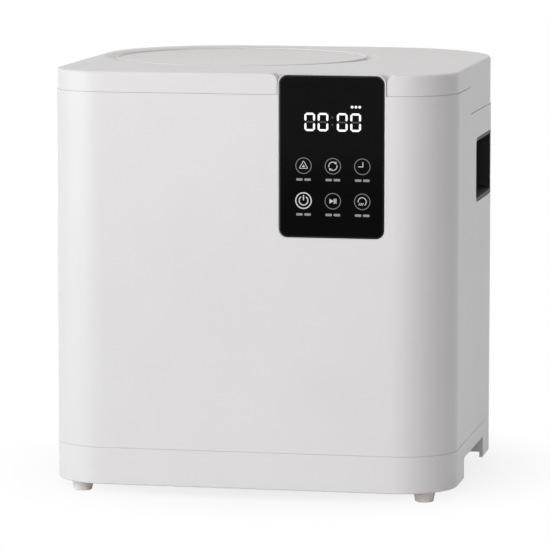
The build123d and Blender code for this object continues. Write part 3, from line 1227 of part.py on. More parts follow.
def main():
    os.makedirs("parts", exist_ok=True)
    save("base_tray", make_base_tray())
    save("base_screws", make_base_screws())
    save("feet", make_feet())
    save("foot_screws", make_foot_screws())
    save("main_shell", make_main_shell())
    save("hinge_pins", make_hinge_pins())
    save("handle_cup_left", make_handle_cup(-1))
    save("handle_cup_right", make_handle_cup(1))
    save("rear_panel", make_rear_panel())
    save("panel_screws", make_panel_screws())
    save("power_inlet", make_power_inlet())
    save("top_deck", make_top_deck())
    save("deck_magnets", make_deck_magnets())
    save("lid_switch", make_lid_switch())
    save("bucket_well", make_bucket_well())
    save("heater_ring", make_heater_ring())
    save("thermostat", make_thermostat())
    save("shaft_seal", make_shaft_seal())
    save("bucket", make_bucket())
    save("bucket_bail", make_bucket_bail())
    save("gearbox_housing", make_gearbox_housing())
    save("gearbox_cover", make_gearbox_cover())
    save("cover_screws", make_cover_screws())
    save("bearings", make_bearings())
    save("motor", make_motor())
    save("motor_shaft", make_motor_shaft())
    save("motor_pinion", make_motor_pinion())
    save("idler_gear", make_idler_gear())
    save("idler_shaft", make_idler_shaft())
    save("output_gear", make_output_gear())
    save("output_shaft", make_output_shaft())
    save("agitator", make_agitator())
    save("agitator_cap", make_agitator_cap())
    save("filter_bay", make_filter_bay())
    save("drawer_frame", make_drawer_frame())
    save("carbon_block", make_carbon_block())
    save("filter_pad", make_filter_pad())
    save("fan_frame", make_fan_frame())
    save("fan_impeller", make_fan_impeller())
    save("fan_gasket", make_fan_gasket())
    save("exhaust_duct", make_exhaust_duct())
    save("main_board", make_main_board())
    save("transformer", make_transformer())
    save("capacitors", make_capacitors())
    save("relays", make_relays())
    save("heat_sink", make_heat_sink())
    save("display_board", make_display_board())
    save("digit_module", make_digit_module())
    save("touch_pads", make_touch_pads())
    save("display_glass", make_display_glass())
    save("lid_top", make_lid_top())
    save("lid_liner", make_lid_liner())
    save("lid_seal", make_lid_seal())
    save("lid_magnets", make_lid_magnets())
    save("lid_screws", make_lid_screws())


if __name__ == "__main__":
    main()
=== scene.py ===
"""The finishes and fine pieces of an electric food waste composter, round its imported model.

Metres, +Z up, the front towards -Y. Sizes are written in millimetres and multiplied by MM.
"""
from math import cos, pi, radians, sin, tau

import bmesh
import bpy
from mathutils import Matrix, Vector


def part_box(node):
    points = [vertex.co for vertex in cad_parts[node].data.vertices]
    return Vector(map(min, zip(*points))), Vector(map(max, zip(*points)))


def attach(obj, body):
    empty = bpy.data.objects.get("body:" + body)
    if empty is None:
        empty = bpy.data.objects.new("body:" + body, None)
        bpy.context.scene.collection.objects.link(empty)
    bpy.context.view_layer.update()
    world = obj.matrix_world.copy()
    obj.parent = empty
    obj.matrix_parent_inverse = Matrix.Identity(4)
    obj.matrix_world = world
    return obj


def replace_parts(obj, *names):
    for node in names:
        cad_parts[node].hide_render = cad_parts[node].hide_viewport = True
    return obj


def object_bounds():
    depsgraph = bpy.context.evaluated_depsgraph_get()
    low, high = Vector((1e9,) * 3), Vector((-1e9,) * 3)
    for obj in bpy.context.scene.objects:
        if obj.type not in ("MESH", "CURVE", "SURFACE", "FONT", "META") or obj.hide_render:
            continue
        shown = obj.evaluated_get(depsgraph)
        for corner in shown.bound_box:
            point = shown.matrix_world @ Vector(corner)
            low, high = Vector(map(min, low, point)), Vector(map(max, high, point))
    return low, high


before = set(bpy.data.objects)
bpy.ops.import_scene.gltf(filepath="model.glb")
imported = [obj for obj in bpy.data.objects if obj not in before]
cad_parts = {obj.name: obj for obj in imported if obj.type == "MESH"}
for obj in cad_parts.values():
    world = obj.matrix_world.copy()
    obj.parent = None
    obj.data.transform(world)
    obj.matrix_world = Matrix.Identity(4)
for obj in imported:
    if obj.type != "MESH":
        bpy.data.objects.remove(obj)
cad_low, cad_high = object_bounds()

MM = 0.001
CASE = "case_body"
LID = "lid_body"


# ---------------------------------------------------------------- camera
PICTURE_SIDE = 550
FOCAL_PIXELS = 3973.0
SENSOR = 36.0
CAMERA_YAW = radians(11.19)
CAMERA_PITCH = radians(7.21)
CAMERA_DISTANCE = 2928 * MM
CAMERA_REACH = 100.0
AIM_RIGHT = -7.1 * MM
AIM_HEIGHT = 143.0 * MM


def point_at(thing, target, turn, rise, distance):
    """Aims a camera or a lamp at a target from a distance.

    Its place turns from the front to the right and rises from the floor, both in radians.
    """
    away = Vector((sin(turn) * cos(rise), -cos(turn) * cos(rise), sin(rise)))
    thing.location = target + away * distance
    thing.rotation_euler = away.to_track_quat("Z", "Y").to_euler()
    bpy.context.scene.collection.objects.link(thing)


def make_camera():
    """A long lens, a little above the case and to its right."""
    right = Vector((cos(CAMERA_YAW), sin(CAMERA_YAW), 0))
    data = bpy.data.cameras.new("camera")
    data.lens = FOCAL_PIXELS / PICTURE_SIDE * SENSOR
    data.sensor_width = SENSOR
    data.clip_end = CAMERA_REACH
    camera = bpy.data.objects.new("camera", data)
    target = right * AIM_RIGHT + Vector((0, 0, AIM_HEIGHT))
    point_at(camera, target, CAMERA_YAW, CAMERA_PITCH, CAMERA_DISTANCE)
    bpy.context.scene.camera = camera


# ---------------------------------------------------------------- shader helpers
NOISE_LOW = 0.3
NOISE_HIGH = 0.7
EDGE_SAMPLES = 6


def linear(hex_colour):
    """An sRGB hex colour as the linear colour that a shader takes."""
    shares = [int(hex_colour[i:i + 2], 16) / 255 for i in (1, 3, 5)]
    return [s / 12.92 if s <= 0.04045 else ((s + 0.055) / 1.055) ** 2.4 for s in shares] + [1.0]


def add_node(tree, kind, sockets=None, **settings):
    """Adds a node. Each socket gets a value, or a link from the output given for it."""
    node = tree.nodes.new("ShaderNode" + kind)
    for name, value in settings.items():
        setattr(node, name, value)
    for name, value in (sockets or {}).items():
        if isinstance(value, bpy.types.NodeSocket):
            tree.links.new(value, node.inputs[name])
        else:
            node.inputs[name].default_value = value
    return node


def new_finish(name, colour, roughness, metallic=0.0, ior=None):
    """A material with its shader set to the plain values, ready for a pattern."""
    material = bpy.data.materials.new(name)
    material.use_nodes = True
    tree = material.node_tree
    shader = tree.nodes["Principled BSDF"]
    shader.inputs["Base Color"].default_value = linear(colour)
    shader.inputs["Roughness"].default_value = roughness
    shader.inputs["Metallic"].default_value = metallic
    if ior:
        shader.inputs["IOR"].default_value = ior
    return material, tree, shader


def grain(tree, size_mm, detail=2.0, stretch=(1, 1, 1)):
    """Noise whose grains are size_mm across, longer along an axis with a small stretch."""
    place = add_node(tree, "TexCoord").outputs["Object"]
    scaled = add_node(tree, "Mapping", {"Vector": place, "Scale": stretch}).outputs[0]
    noise = add_node(tree, "TexNoise", {"Vector": scaled, "Scale": 1 / (size_mm * MM),
                                        "Detail": detail})
    return noise.outputs["Fac"]


def vary(tree, shader, socket, pattern, low, high):
    """Runs a shader's number from low to high with a pattern."""
    spread = add_node(tree, "MapRange", {0: pattern, 1: NOISE_LOW, 2: NOISE_HIGH, 3: low, 4: high})
    tree.links.new(spread.outputs[0], shader.inputs[socket])


def tint(tree, shader, pattern, dark, light, start=NOISE_LOW, end=NOISE_HIGH):
    """Colours a shader from dark, where the pattern is at start, to light, where it is at end."""
    share = add_node(tree, "MapRange", {0: pattern, 1: start, 2: end}).outputs[0]
    mix = add_node(tree, "Mix", {0: share, 6: linear(dark), 7: linear(light)}, data_type="RGBA")
    tree.links.new(mix.outputs[2], shader.inputs["Base Color"])


def raise_surface(tree, shader, pattern, height_mm, edge_mm=0.0):
    """Bumps the surface by height_mm, and rounds sharp edges by edge_mm for the light's sake."""
    sockets = {"Height": pattern, "Distance": height_mm * MM, "Strength": 1.0}
    if edge_mm:
        edge = add_node(tree, "Bevel", {"Radius": edge_mm * MM}, samples=EDGE_SAMPLES)
        sockets["Normal"] = edge.outputs[0]
    bump = add_node(tree, "Bump", sockets)
    tree.links.new(bump.outputs[0], shader.inputs["Normal"])


# ---------------------------------------------------------------- finishes
# Grains finer than about half a millimetre don't show, so they are drawn coarser, and a comment
# gives the real size. Every other pattern has its real size.
def white_abs_moulded():
    """ABS from a polished mould: satin, with painted shading for the faint waviness of thin walls."""
    material, tree, shader = new_finish("white_abs_moulded", "#E7E6E6", roughness=0.34, ior=1.53)
    # painted shading: the colour a little lighter and darker over some centimetres, for the waviness
    # of thin walls
    tint(tree, shader, grain(tree, size_mm=60), "#E6E5E5", "#E8E7E7")
    fine = grain(tree, size_mm=1.1)  # really about 0.1 mm
    vary(tree, shader, "Roughness", fine, low=0.31, high=0.37)
    raise_surface(tree, shader, fine, height_mm=0.006, edge_mm=0.5)
    return material


def black_abs_moulded():
    """Black ABS for the grip cups: a low sheen on a fine spark-eroded grain."""
    material, tree, shader = new_finish("black_abs_moulded", "#0F0F10", roughness=0.45, ior=1.53)
    shader.inputs["Specular IOR Level"].default_value = 0.12
    tint(tree, shader, grain(tree, size_mm=20), "#0E0E0F", "#131314")
    sparks = grain(tree, size_mm=0.8)  # really about 0.1 mm
    raise_surface(tree, shader, sparks, height_mm=0.02, edge_mm=0.4)
    return material


def black_abs_grained():
    """Black ABS inside the case: duller, with a coarse grain that hides flow marks."""
    material, tree, shader = new_finish("black_abs_grained", "#1B1B1D", roughness=0.55, ior=1.53)
    tint(tree, shader, grain(tree, size_mm=15), "#18181A", "#202022")
    coarse = grain(tree, size_mm=1.0)  # really about 0.3 mm
    raise_surface(tree, shader, coarse, height_mm=0.05, edge_mm=0.3)
    return material


def grey_polypropylene():
    """Talc-filled polypropylene: warm grey and waxy, with a soft etched texture."""
    material, tree, shader = new_finish("grey_polypropylene", "#B9B8B5", roughness=0.48, ior=1.49)
    tint(tree, shader, grain(tree, size_mm=25), "#B8B7B4", "#BAB9B6")
    etched = grain(tree, size_mm=1.2)  # really about 0.2 mm
    raise_surface(tree, shader, etched, height_mm=0.03, edge_mm=0.4)
    return material


def foot_elastomer():
    """Thermoplastic elastomer: matt, grey-beige, picks up dust in its pores."""
    material, tree, shader = new_finish("foot_elastomer", "#EEE8E1", roughness=0.75, ior=1.5)
    tint(tree, shader, grain(tree, size_mm=4), "#E9E2DA", "#F3EDE7")
    pores = grain(tree, size_mm=0.7)  # really about 0.1 mm
    raise_surface(tree, shader, pores, height_mm=0.04, edge_mm=0.4)
    return material


def seal_silicone():
    """Cast silicone rubber: dark grey and dull with a slight bloom."""
    material, tree, shader = new_finish("seal_silicone", "#4A4B4D", roughness=0.6, ior=1.41)
    tint(tree, shader, grain(tree, size_mm=12), "#444547", "#535456")
    raise_surface(tree, shader, grain(tree, size_mm=1.5), height_mm=0.02)
    return material


def display_glass():
    """Tempered glass printed black on the back: it reflects little, and its ground edge is greyer,
    partly its own matt grey and partly a painted reflection.
    """
    material, tree, shader = new_finish("display_glass", "#0A090A", roughness=0.05, ior=1.52)
    shader.inputs["Specular IOR Level"].default_value = 0.02
    normal = add_node(tree, "NewGeometry").outputs["Normal"]
    facing = add_node(tree, "SeparateXYZ", {0: normal}).outputs[1]  # -1 on the flat face
    # the sloped edge is painted grey: partly the matt grey of ground glass, partly a painted
    # reflection
    tint(tree, shader, facing, "#0A090A", "#2B2B2D", start=-0.997, end=-0.99)
    smear = grain(tree, size_mm=30, stretch=(1, 1, 0.4))
    vary(tree, shader, "Roughness", smear, low=0.04, high=0.09)
    raise_surface(tree, shader, smear, height_mm=0.002)
    return material


def printed_ink(name, colour, strength, thin="#343435", thick="#404041"):
    """Screen-printed ink, lit from behind: slightly uneven where the mesh printed."""
    material, tree, shader = new_finish(name, thick, roughness=0.5, ior=1.5)
    mesh_marks = grain(tree, size_mm=0.5)  # really about 0.1 mm
    tint(tree, shader, mesh_marks, thin, thick)
    shader.inputs["Emission Color"].default_value = linear(colour)
    shader.inputs["Emission Strength"].default_value = strength
    return material


def steel(name, colour, roughness, mark_mm, stretch, height_mm):
    """Steel with the marks of its making, which run along an axis with a smaller stretch."""
    material, tree, shader = new_finish(name, colour, roughness=roughness, metallic=1.0)
    marks = grain(tree, size_mm=mark_mm, detail=3.0, stretch=stretch)
    vary(tree, shader, "Roughness", marks, low=roughness * 0.75, high=roughness * 1.3)
    raise_surface(tree, shader, marks, height_mm=height_mm, edge_mm=0.2)
    return material


def zinc_plated_steel():
    """Zinc over pressed steel: pale and half dull, with a faint mottle."""
    return steel("zinc_plated_steel", "#BFC0C1", 0.34, mark_mm=2.0, stretch=(1, 1, 1), height_mm=0.01)


def ground_steel():
    """Ground bar: bright, with fine rings round it."""
    return steel("ground_steel", "#B9BABC", 0.24, mark_mm=0.8, stretch=(1, 1, 12), height_mm=0.006)


def brushed_stainless():
    """Brushed stainless steel: soft streaks up and down, really about 0.1 mm wide."""
    return steel("brushed_stainless", "#B4B5B6", 0.32, mark_mm=0.7, stretch=(1, 1, 0.06),
                 height_mm=0.012)


def machined_steel():
    """Hobbed steel: bright, with the cutter's rings."""
    return steel("machined_steel", "#A9AAAC", 0.28, mark_mm=0.6, stretch=(1, 1, 8), height_mm=0.01)


def drawn_aluminium():
    """Deep-drawn aluminium: bright, with fine draw lines up its wall."""
    material, tree, shader = new_finish("drawn_aluminium", "#C9CACC", roughness=0.3, metallic=1.0)
    lines = grain(tree, size_mm=0.9, detail=3.0, stretch=(1, 1, 0.05))  # really about 0.2 mm
    tint(tree, shader, grain(tree, size_mm=30), "#C2C3C5", "#CFD0D2")
    vary(tree, shader, "Roughness", lines, low=0.22, high=0.4)
    raise_surface(tree, shader, lines, height_mm=0.015)
    return material


def ceramic_coating():
    """Sprayed ceramic non-stick on cast aluminium: charcoal with fine pale flecks."""
    material, tree, shader = new_finish("ceramic_coating", "#3B3C3E", roughness=0.42, ior=1.6)
    place = add_node(tree, "TexCoord").outputs["Object"]
    flecks = add_node(tree, "TexVoronoi", {"Vector": place, "Scale": 1 / (2.2 * MM)})
    tint(tree, shader, flecks.outputs["Distance"], "#8B8C8E", "#37383A", start=0.08, end=0.2)
    raise_surface(tree, shader, grain(tree, size_mm=1.4), height_mm=0.03, edge_mm=0.4)
    shader.inputs["Coat Weight"].default_value = 0.25
    shader.inputs["Coat Roughness"].default_value = 0.25
    return material


def acetal_moulded():
    """Moulded acetal for gears: ivory and slick, with a fine mould grain."""
    material, tree, shader = new_finish("acetal_moulded", "#E2DFD3", roughness=0.35, ior=1.48)
    tint(tree, shader, grain(tree, size_mm=8), "#DDDACE", "#E6E3D8")
    fine = grain(tree, size_mm=0.9)  # really about 0.1 mm
    raise_surface(tree, shader, fine, height_mm=0.01, edge_mm=0.2)
    return material


def bronze_sintered():
    """Oil-filled sintered bronze: brown-gold and porous."""
    material, tree, shader = new_finish("bronze_sintered", "#A9834F", roughness=0.5, metallic=1.0)
    pores = grain(tree, size_mm=0.6, detail=4.0)  # really about 0.05 mm
    tint(tree, shader, pores, "#7D5F38", "#B48D57")
    raise_surface(tree, shader, pores, height_mm=0.05)
    return material


def carbon_granules():
    """Activated carbon pressed to a block: black, each granule with its own facet."""
    material, tree, shader = new_finish("carbon_granules", "#161617", roughness=0.7, ior=1.6)
    place = add_node(tree, "TexCoord").outputs["Object"]
    cells = add_node(tree, "TexVoronoi", {"Vector": place, "Scale": 1 / (2.4 * MM)})
    tint(tree, shader, cells.outputs["Color"], "#0C0C0D", "#2B2B2D", start=0.0, end=1.0)
    raise_surface(tree, shader, cells.outputs["Distance"], height_mm=0.8)
    return material


def filter_fleece():
    """Needled polyester fleece: off-white, with fibres lying every way."""
    material, tree, shader = new_finish("filter_fleece", "#DAD8D2", roughness=0.9, ior=1.45)
    fibres = grain(tree, size_mm=0.7, detail=6.0)  # really about 0.03 mm, drawn as tufts
    tint(tree, shader, fibres, "#C4C2BB", "#E6E4DE")
    shader.inputs["Sheen Weight"].default_value = 0.4
    raise_surface(tree, shader, fibres, height_mm=0.25)
    return material


def board_solder_mask():
    """Glass-epoxy board under green solder mask: glossy, with tracks just showing."""
    material, tree, shader = new_finish("board_solder_mask", "#14502F", roughness=0.3, ior=1.55)
    place = add_node(tree, "TexCoord").outputs["Object"]
    tracks = add_node(tree, "TexBrick", {"Vector": place, "Scale": 1 / (14 * MM), "Mortar Size": 0.03})
    tint(tree, shader, tracks.outputs["Fac"], "#12482A", "#1D6B40", start=0.0, end=1.0)
    raise_surface(tree, shader, tracks.outputs["Fac"], height_mm=0.035)
    return material


def varnished_laminations():
    """Stacked transformer steel under brown varnish: fine dark lines between the sheets.

    A wave draws a line every pi / 10 of its scale, here 1.9 mm. The real sheets are 0.5 mm thick.
    """
    material, tree, shader = new_finish("varnished_laminations", "#4A4038", roughness=0.4,
                                        metallic=0.6)
    place = add_node(tree, "TexCoord").outputs["Object"]
    sheets = add_node(tree, "TexWave", {"Vector": place, "Scale": 1 / (6 * MM)}, bands_direction="Z")
    tint(tree, shader, sheets.outputs["Fac"], "#2C2723", "#5A4F46", start=0.0, end=1.0)
    raise_surface(tree, shader, sheets.outputs["Fac"], height_mm=0.1)
    return material


def component_epoxy():
    """Epoxy and sleeve plastic of board components: black with a soft gloss."""
    material, tree, shader = new_finish("component_epoxy", "#19191B", roughness=0.32, ior=1.55)
    tint(tree, shader, grain(tree, size_mm=6), "#161618", "#1F1F22")
    fine = grain(tree, size_mm=0.8)  # really about 0.1 mm
    raise_surface(tree, shader, fine, height_mm=0.01, edge_mm=0.3)
    return material


def nickel_plated():
    """Nickel plating over a sintered magnet or a brass blade: warm and bright, slightly pebbled."""
    material, tree, shader = new_finish("nickel_plated", "#CFCBC2", roughness=0.18, metallic=1.0)
    pebbles = grain(tree, size_mm=0.8)  # really about 0.2 mm
    vary(tree, shader, "Roughness", pebbles, low=0.14, high=0.26)
    raise_surface(tree, shader, pebbles, height_mm=0.01, edge_mm=0.2)
    return material


def make_finishes():
    """Every finish by the name that the pieces below use."""
    return {
        "white": white_abs_moulded(),
        "grip": black_abs_moulded(),
        "black": black_abs_grained(),
        "inner": grey_polypropylene(),
        "foot": foot_elastomer(),
        "seal": seal_silicone(),
        "glass": display_glass(),
        "ink_dim": printed_ink("ink_dim", "#7C7C7E", strength=0.55),
        "ink_key": printed_ink("ink_key", "#BDBDBF", strength=0.9),
        "ink_power": printed_ink("ink_power", "#E4E4E4", strength=0.7),
        "ink_label": printed_ink("ink_label", "#8F8F91", strength=0.7),
        "led_lit": printed_ink("led_lit", "#FFFFFF", strength=1.15),
        "led_dark": printed_ink("led_dark", "#343436", strength=0.25, thin="#0F0F10",
                                thick="#141415"),
        "zinc": zinc_plated_steel(),
        "ground": ground_steel(),
        "stainless": brushed_stainless(),
        "machined": machined_steel(),
        "aluminium": drawn_aluminium(),
        "ceramic": ceramic_coating(),
        "acetal": acetal_moulded(),
        "bronze": bronze_sintered(),
        "carbon": carbon_granules(),
        "fleece": filter_fleece(),
        "board": board_solder_mask(),
        "laminations": varnished_laminations(),
        "component": component_epoxy(),
        "nickel": nickel_plated(),
    }


NODE_FINISHES = {
    "white": ("main_shell", "base_tray", "lid_top", "rear_panel", "drawer_frame"),
    "grip": ("handle_cup_left", "handle_cup_right"),
    "black": ("lid_switch", "gearbox_housing", "gearbox_cover", "fan_frame", "fan_impeller",
              "agitator_cap", "thermostat", "power_inlet"),
    "inner": ("top_deck", "lid_liner", "filter_bay", "exhaust_duct", "touch_pads"),
    "foot": ("feet",),
    "seal": ("lid_seal", "shaft_seal", "fan_gasket"),
    "glass": ("display_glass",),
    "zinc": ("motor", "base_screws", "foot_screws", "panel_screws", "cover_screws", "lid_screws"),
    "ground": ("output_shaft", "idler_shaft", "motor_shaft", "hinge_pins"),
    "stainless": ("bucket_bail", "agitator"),
    "machined": ("motor_pinion",),
    "aluminium": ("bucket_well", "heater_ring", "heat_sink"),
    "ceramic": ("bucket",),
    "acetal": ("idler_gear", "output_gear"),
    "bronze": ("bearings",),
    "carbon": ("carbon_block",),
    "fleece": ("filter_pad",),
    "board": ("main_board", "display_board"),
    "laminations": ("transformer",),
    "component": ("capacitors", "relays", "digit_module"),
    "nickel": ("deck_magnets", "lid_magnets"),
}


def dress_nodes(finishes):
    """Gives each node of the CAD model its finish."""
    for finish, nodes in NODE_FINISHES.items():
        for name in nodes:
            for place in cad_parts[name].material_slots:
                place.material = finishes[finish]


# ---------------------------------------------------------------- mesh helpers
CORNER_STEPS = 8
FULL_TURN = tau - 0.001


def new_piece(name, mesh, finish, body):
    """Makes a piece from a bmesh and lets it ride on a body."""
    bmesh.ops.recalc_face_normals(mesh, faces=mesh.faces)
    data = bpy.data.meshes.new(name)
    mesh.to_mesh(data)
    mesh.free()
    piece = bpy.data.objects.new(name, data)
    bpy.context.scene.collection.objects.link(piece)
    data.materials.append(finish)
    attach(piece, body)
    return piece


def stack(mesh, levels):
    """A closed solid through outlines of as many points each, given as (points, height)."""
    loops = [[mesh.verts.new((a, b, height)) for a, b in points] for points, height in levels]
    mesh.faces.new(loops[0][::-1])
    mesh.faces.new(loops[-1])
    for low, high in zip(loops, loops[1:]):
        for i in range(len(low)):
            j = (i + 1) % len(low)
            mesh.faces.new((low[i], low[j], high[j], high[i]))
    return [v for loop in loops for v in loop]


def sweep(mesh, profile, start, end, steps=40):
    """A closed outline of (radius, height) points, turned about Z from start to end in radians."""
    whole = end - start > FULL_TURN
    count = steps if whole else steps + 1
    loops = []
    for i in range(count):
        turn = start + (end - start) * i / steps
        loops.append([mesh.verts.new((r * cos(turn), r * sin(turn), h)) for r, h in profile])
    for i in range(steps):
        a, b = loops[i], loops[(i + 1) % count]
        for k in range(len(profile)):
            m = (k + 1) % len(profile)
            mesh.faces.new((a[k], b[k], b[m], a[m]))
    if not whole:
        mesh.faces.new(loops[0])
        mesh.faces.new(loops[-1][::-1])
    return [v for loop in loops for v in loop]


def rounded_outline(width, height, radius):
    """A rounded rectangle about the origin, as points."""
    points = []
    for corner, (sx, sy) in enumerate(((1, 1), (-1, 1), (-1, -1), (1, -1))):
        for i in range(CORNER_STEPS + 1):
            turn = pi / 2 * (corner + i / CORNER_STEPS)
            points.append((sx * (width / 2 - radius) + radius * cos(turn),
                           sy * (height / 2 - radius) + radius * sin(turn)))
    return points


def shift(mesh, verts, x, y, turn=0.0):
    """Turns some points about Z, in radians, and then moves them."""
    bmesh.ops.transform(mesh, verts=verts,
                        matrix=Matrix.Translation((x, y, 0)) @ Matrix.Rotation(turn, 4, "Z"))


# ---------------------------------------------------------------- studio
MIDDLE = Vector((0, 0, (cad_low.z + cad_high.z) / 2))
FILL = 0.2
FLOOR_SIZE = 6.0
# how white the floor looks under the case, and how far out, in metres, it turns fully white
FLOOR_WHITE = 0.8
FLOOR_FADE_START = 0.1
FLOOR_FADE_END = 0.25
# name, azimuth and elevation in degrees, distance, width and height in metres, watts, colour
LAMPS = (
    ("key_left", -60, 6, 2.4, 2.2, 2.4, 38.6, "#F6FBFF"),
    ("key_middle", -30, 6, 2.4, 2.2, 2.4, 20.1, "#FAFBFF"),
    ("key_front", 2, 6, 2.4, 2.2, 2.4, 18.9, "#FFF9FB"),
    ("overhead", -20, 80, 2.0, 1.6, 1.6, 8.0, "#FFF9F3"),
    ("side_right", 100, 15, 2.2, 1.4, 1.8, 0.8, "#7088FF"),
    ("back", 180, 50, 2.2, 1.8, 1.4, 1.0, "#FFFFFF"),
    ("back_low", -165, 0, 1.3, 0.85, 0.25, 3.0, "#FFFFFF"),
)


def seen_directly(tree):
    """1 for the lens, a reflection or a view through glass, and 0 for light that falls on things."""
    path = add_node(tree, "LightPath").outputs
    either = add_node(tree, "Math", {0: path["Is Camera Ray"], 1: path["Is Glossy Ray"]},
                      operation="MAXIMUM")
    every = add_node(tree, "Math", {0: either.outputs[0], 1: path["Is Transmission Ray"]},
                     operation="MAXIMUM")
    return every.outputs[0]


def make_world():
    """A white backdrop that lights the object no more than a plain studio would."""
    world = bpy.data.worlds.new("studio")
    world.use_nodes = True
    tree = world.node_tree
    tree.nodes.clear()
    fill = add_node(tree, "Background", {"Color": linear("#FFFCF8"), "Strength": FILL})
    white = add_node(tree, "Background", {"Color": linear("#FFFFFF"), "Strength": 1.0})
    both = add_node(tree, "MixShader", {0: seen_directly(tree), 1: fill.outputs[0],
                                        2: white.outputs[0]})
    add_node(tree, "OutputWorld", {"Surface": both.outputs[0]})
    bpy.context.scene.world = world


def make_floor():
    """A pale floor that keeps the case's shadow and turns white away from it."""
    material = bpy.data.materials.new("studio_floor")
    material.use_nodes = True
    tree = material.node_tree
    tree.nodes.clear()
    matt = add_node(tree, "BsdfDiffuse", {"Color": linear("#EAEAE9"), "Roughness": 1.0})
    white = add_node(tree, "Emission", {"Color": linear("#FFFFFF"), "Strength": 1.0})
    place = add_node(tree, "TexCoord").outputs["Object"]
    away = add_node(tree, "VectorMath", {0: place}, operation="LENGTH").outputs["Value"]
    fade = add_node(tree, "MapRange", {0: away, 1: FLOOR_FADE_START, 2: FLOOR_FADE_END,
                                       3: FLOOR_WHITE, 4: 1.0}, interpolation_type="SMOOTHSTEP")
    share = add_node(tree, "Math", {0: fade.outputs[0], 1: seen_directly(tree)},
                     operation="MULTIPLY")
    both = add_node(tree, "MixShader", {0: share.outputs[0], 1: matt.outputs[0],
                                        2: white.outputs[0]})
    add_node(tree, "OutputMaterial", {"Surface": both.outputs[0]})
    mesh = bmesh.new()
    bmesh.ops.create_grid(mesh, x_segments=1, y_segments=1, size=FLOOR_SIZE)
    data = bpy.data.meshes.new("floor")
    mesh.to_mesh(data)
    mesh.free()
    data.materials.append(material)
    floor = bpy.data.objects.new("floor", data)
    bpy.context.scene.collection.objects.link(floor)


def softbox(name, azimuth, elevation, distance, wide, high, watts, colour):
    """A lamp aimed at the middle of the case. Azimuth 0 is the front, 90 its right side."""
    data = bpy.data.lights.new(name, "AREA")
    data.shape = "RECTANGLE"
    data.size, data.size_y = wide, high
    data.energy = watts
    data.color = linear(colour)[:3]
    lamp = bpy.data.objects.new(name, data)
    lamp.visible_camera = False
    point_at(lamp, MIDDLE, radians(azimuth), radians(elevation), distance)


def make_studio():
    """Backdrop, floor and lamps, at a level where a colour renders about as it is written."""
    bpy.context.scene.view_settings.view_transform = "Standard"
    make_world()
    make_floor()
    for lamp in LAMPS:
        softbox(*lamp)


# ---------------------------------------------------------------- display
GLASS_CORNER = 5.9
GLASS_SLOPE = 1.6
GLASS_DROP = 0.7
SLOPE_STEPS = 5
PRINT = 0.06
ROUND_SIDES = 16
KEY_LEFT = 17.3
KEY_PITCH = 20.8
KEY_LOW = 26.0
KEY_ROW = 24.5
RING_OUTER = 5.75
RING_INNER = 5.2
POWER_EXTRA = 0.25
LABEL_DROP = 9.7
LABEL_APART = 2.9
LABEL_LONG = 4.8
LABEL_TALL = 1.7
LABEL_POINT = 0.4
DIGIT_LEFTS = (17.9, 27.3, 40.9, 50.4)
DIGIT_LOW = 74.8
DIGIT_WIDE = 7.5
DIGIT_HIGH = 12.8
STROKE = 1.4
STROKE_POINT = STROKE * 0.5
DARK_STROKE = STROKE * 0.8
DARK_POINT = STROKE * 0.4
ACROSS = DIGIT_WIDE - STROKE * 1.25
UPRIGHT = DIGIT_HIGH / 2 - STROKE * 1.05
COLON_LEFT = 37.6
COLON_HEIGHTS = (79.4, 84.5)
COLON_RADIUS = 0.75
STATUS_LEFTS = (51.6, 54.3, 57.0)
STATUS_HIGH = 92.0
STATUS_RADIUS = 0.95

glass_low, glass_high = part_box("display_glass")
GLASS_WIDE = (glass_high.x - glass_low.x) / MM
GLASS_TALL = (glass_high.z - glass_low.z) / MM
GLASS_THICK = (glass_high.y - glass_low.y) / MM
# a drawing's right, up and out of the front, in millimetres from the glass's low left corner
ON_GLASS = Matrix.Translation((glass_low.x, glass_low.y, glass_low.z)) @ Matrix(
    ((MM, 0, 0, 0), (0, 0, -MM, 0), (0, MM, 0, 0), (0, 0, 0, 1)))


def glass_piece(name, mesh, finish):
    """Makes a piece of the display from a drawing in millimetres on the glass."""
    bmesh.ops.transform(mesh, verts=mesh.verts, matrix=ON_GLASS)
    return new_piece(name, mesh, finishes[finish], CASE)


def make_glass():
    """The display's glass with its front edge ground to a slope."""
    insets = [(0.0, -GLASS_THICK)]
    for i in range(SLOPE_STEPS + 1):
        turn = pi / 2 * i / SLOPE_STEPS
        insets.append((GLASS_SLOPE * (1 - cos(turn)), GLASS_DROP * (sin(turn) - 1)))
    levels = [(rounded_outline(GLASS_WIDE - 2 * inset, GLASS_TALL - 2 * inset, GLASS_CORNER - inset),
               height) for inset, height in insets]
    mesh = bmesh.new()
    shift(mesh, stack(mesh, levels), GLASS_WIDE / 2, GLASS_TALL / 2)
    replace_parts(glass_piece("glass_panel", mesh, "glass"), "display_glass")


def print_shape(mesh, outline, x, y, turn=0.0):
    """Prints an outline about (x, y), turned by radians."""
    shift(mesh, stack(mesh, [(outline, 0.0), (outline, PRINT)]), x, y, turn)


def bar(mesh, x, y, length, width, turn=0.0, point=0.0):
    """A printed bar about (x, y), turned by radians. point draws its ends out to tips."""
    half, side = length / 2, width / 2
    outline = [(-half + point, -side), (half - point, -side), (half, 0),
               (half - point, side), (-half + point, side), (-half, 0)]
    print_shape(mesh, outline, x, y, turn)


def polygon(mesh, x, y, radius, sides=ROUND_SIDES, turn=0):
    """A printed dot about (x, y). With three sides it is an arrowhead that points the way of turn.

    The turn is in degrees.
    """
    turns = [tau * i / sides for i in range(sides)]
    print_shape(mesh, [(radius * cos(t), radius * sin(t)) for t in turns], x, y, radians(turn))


def arc(mesh, x, y, radius, line, start, end):
    """Part of a printed ring about (x, y), from start to end in degrees."""
    inner, outer = radius - line / 2, radius + line / 2
    section = ((inner, 0.0), (outer, 0.0), (outer, PRINT), (inner, PRINT))
    shift(mesh, sweep(mesh, section, radians(start), radians(end)), x, y)


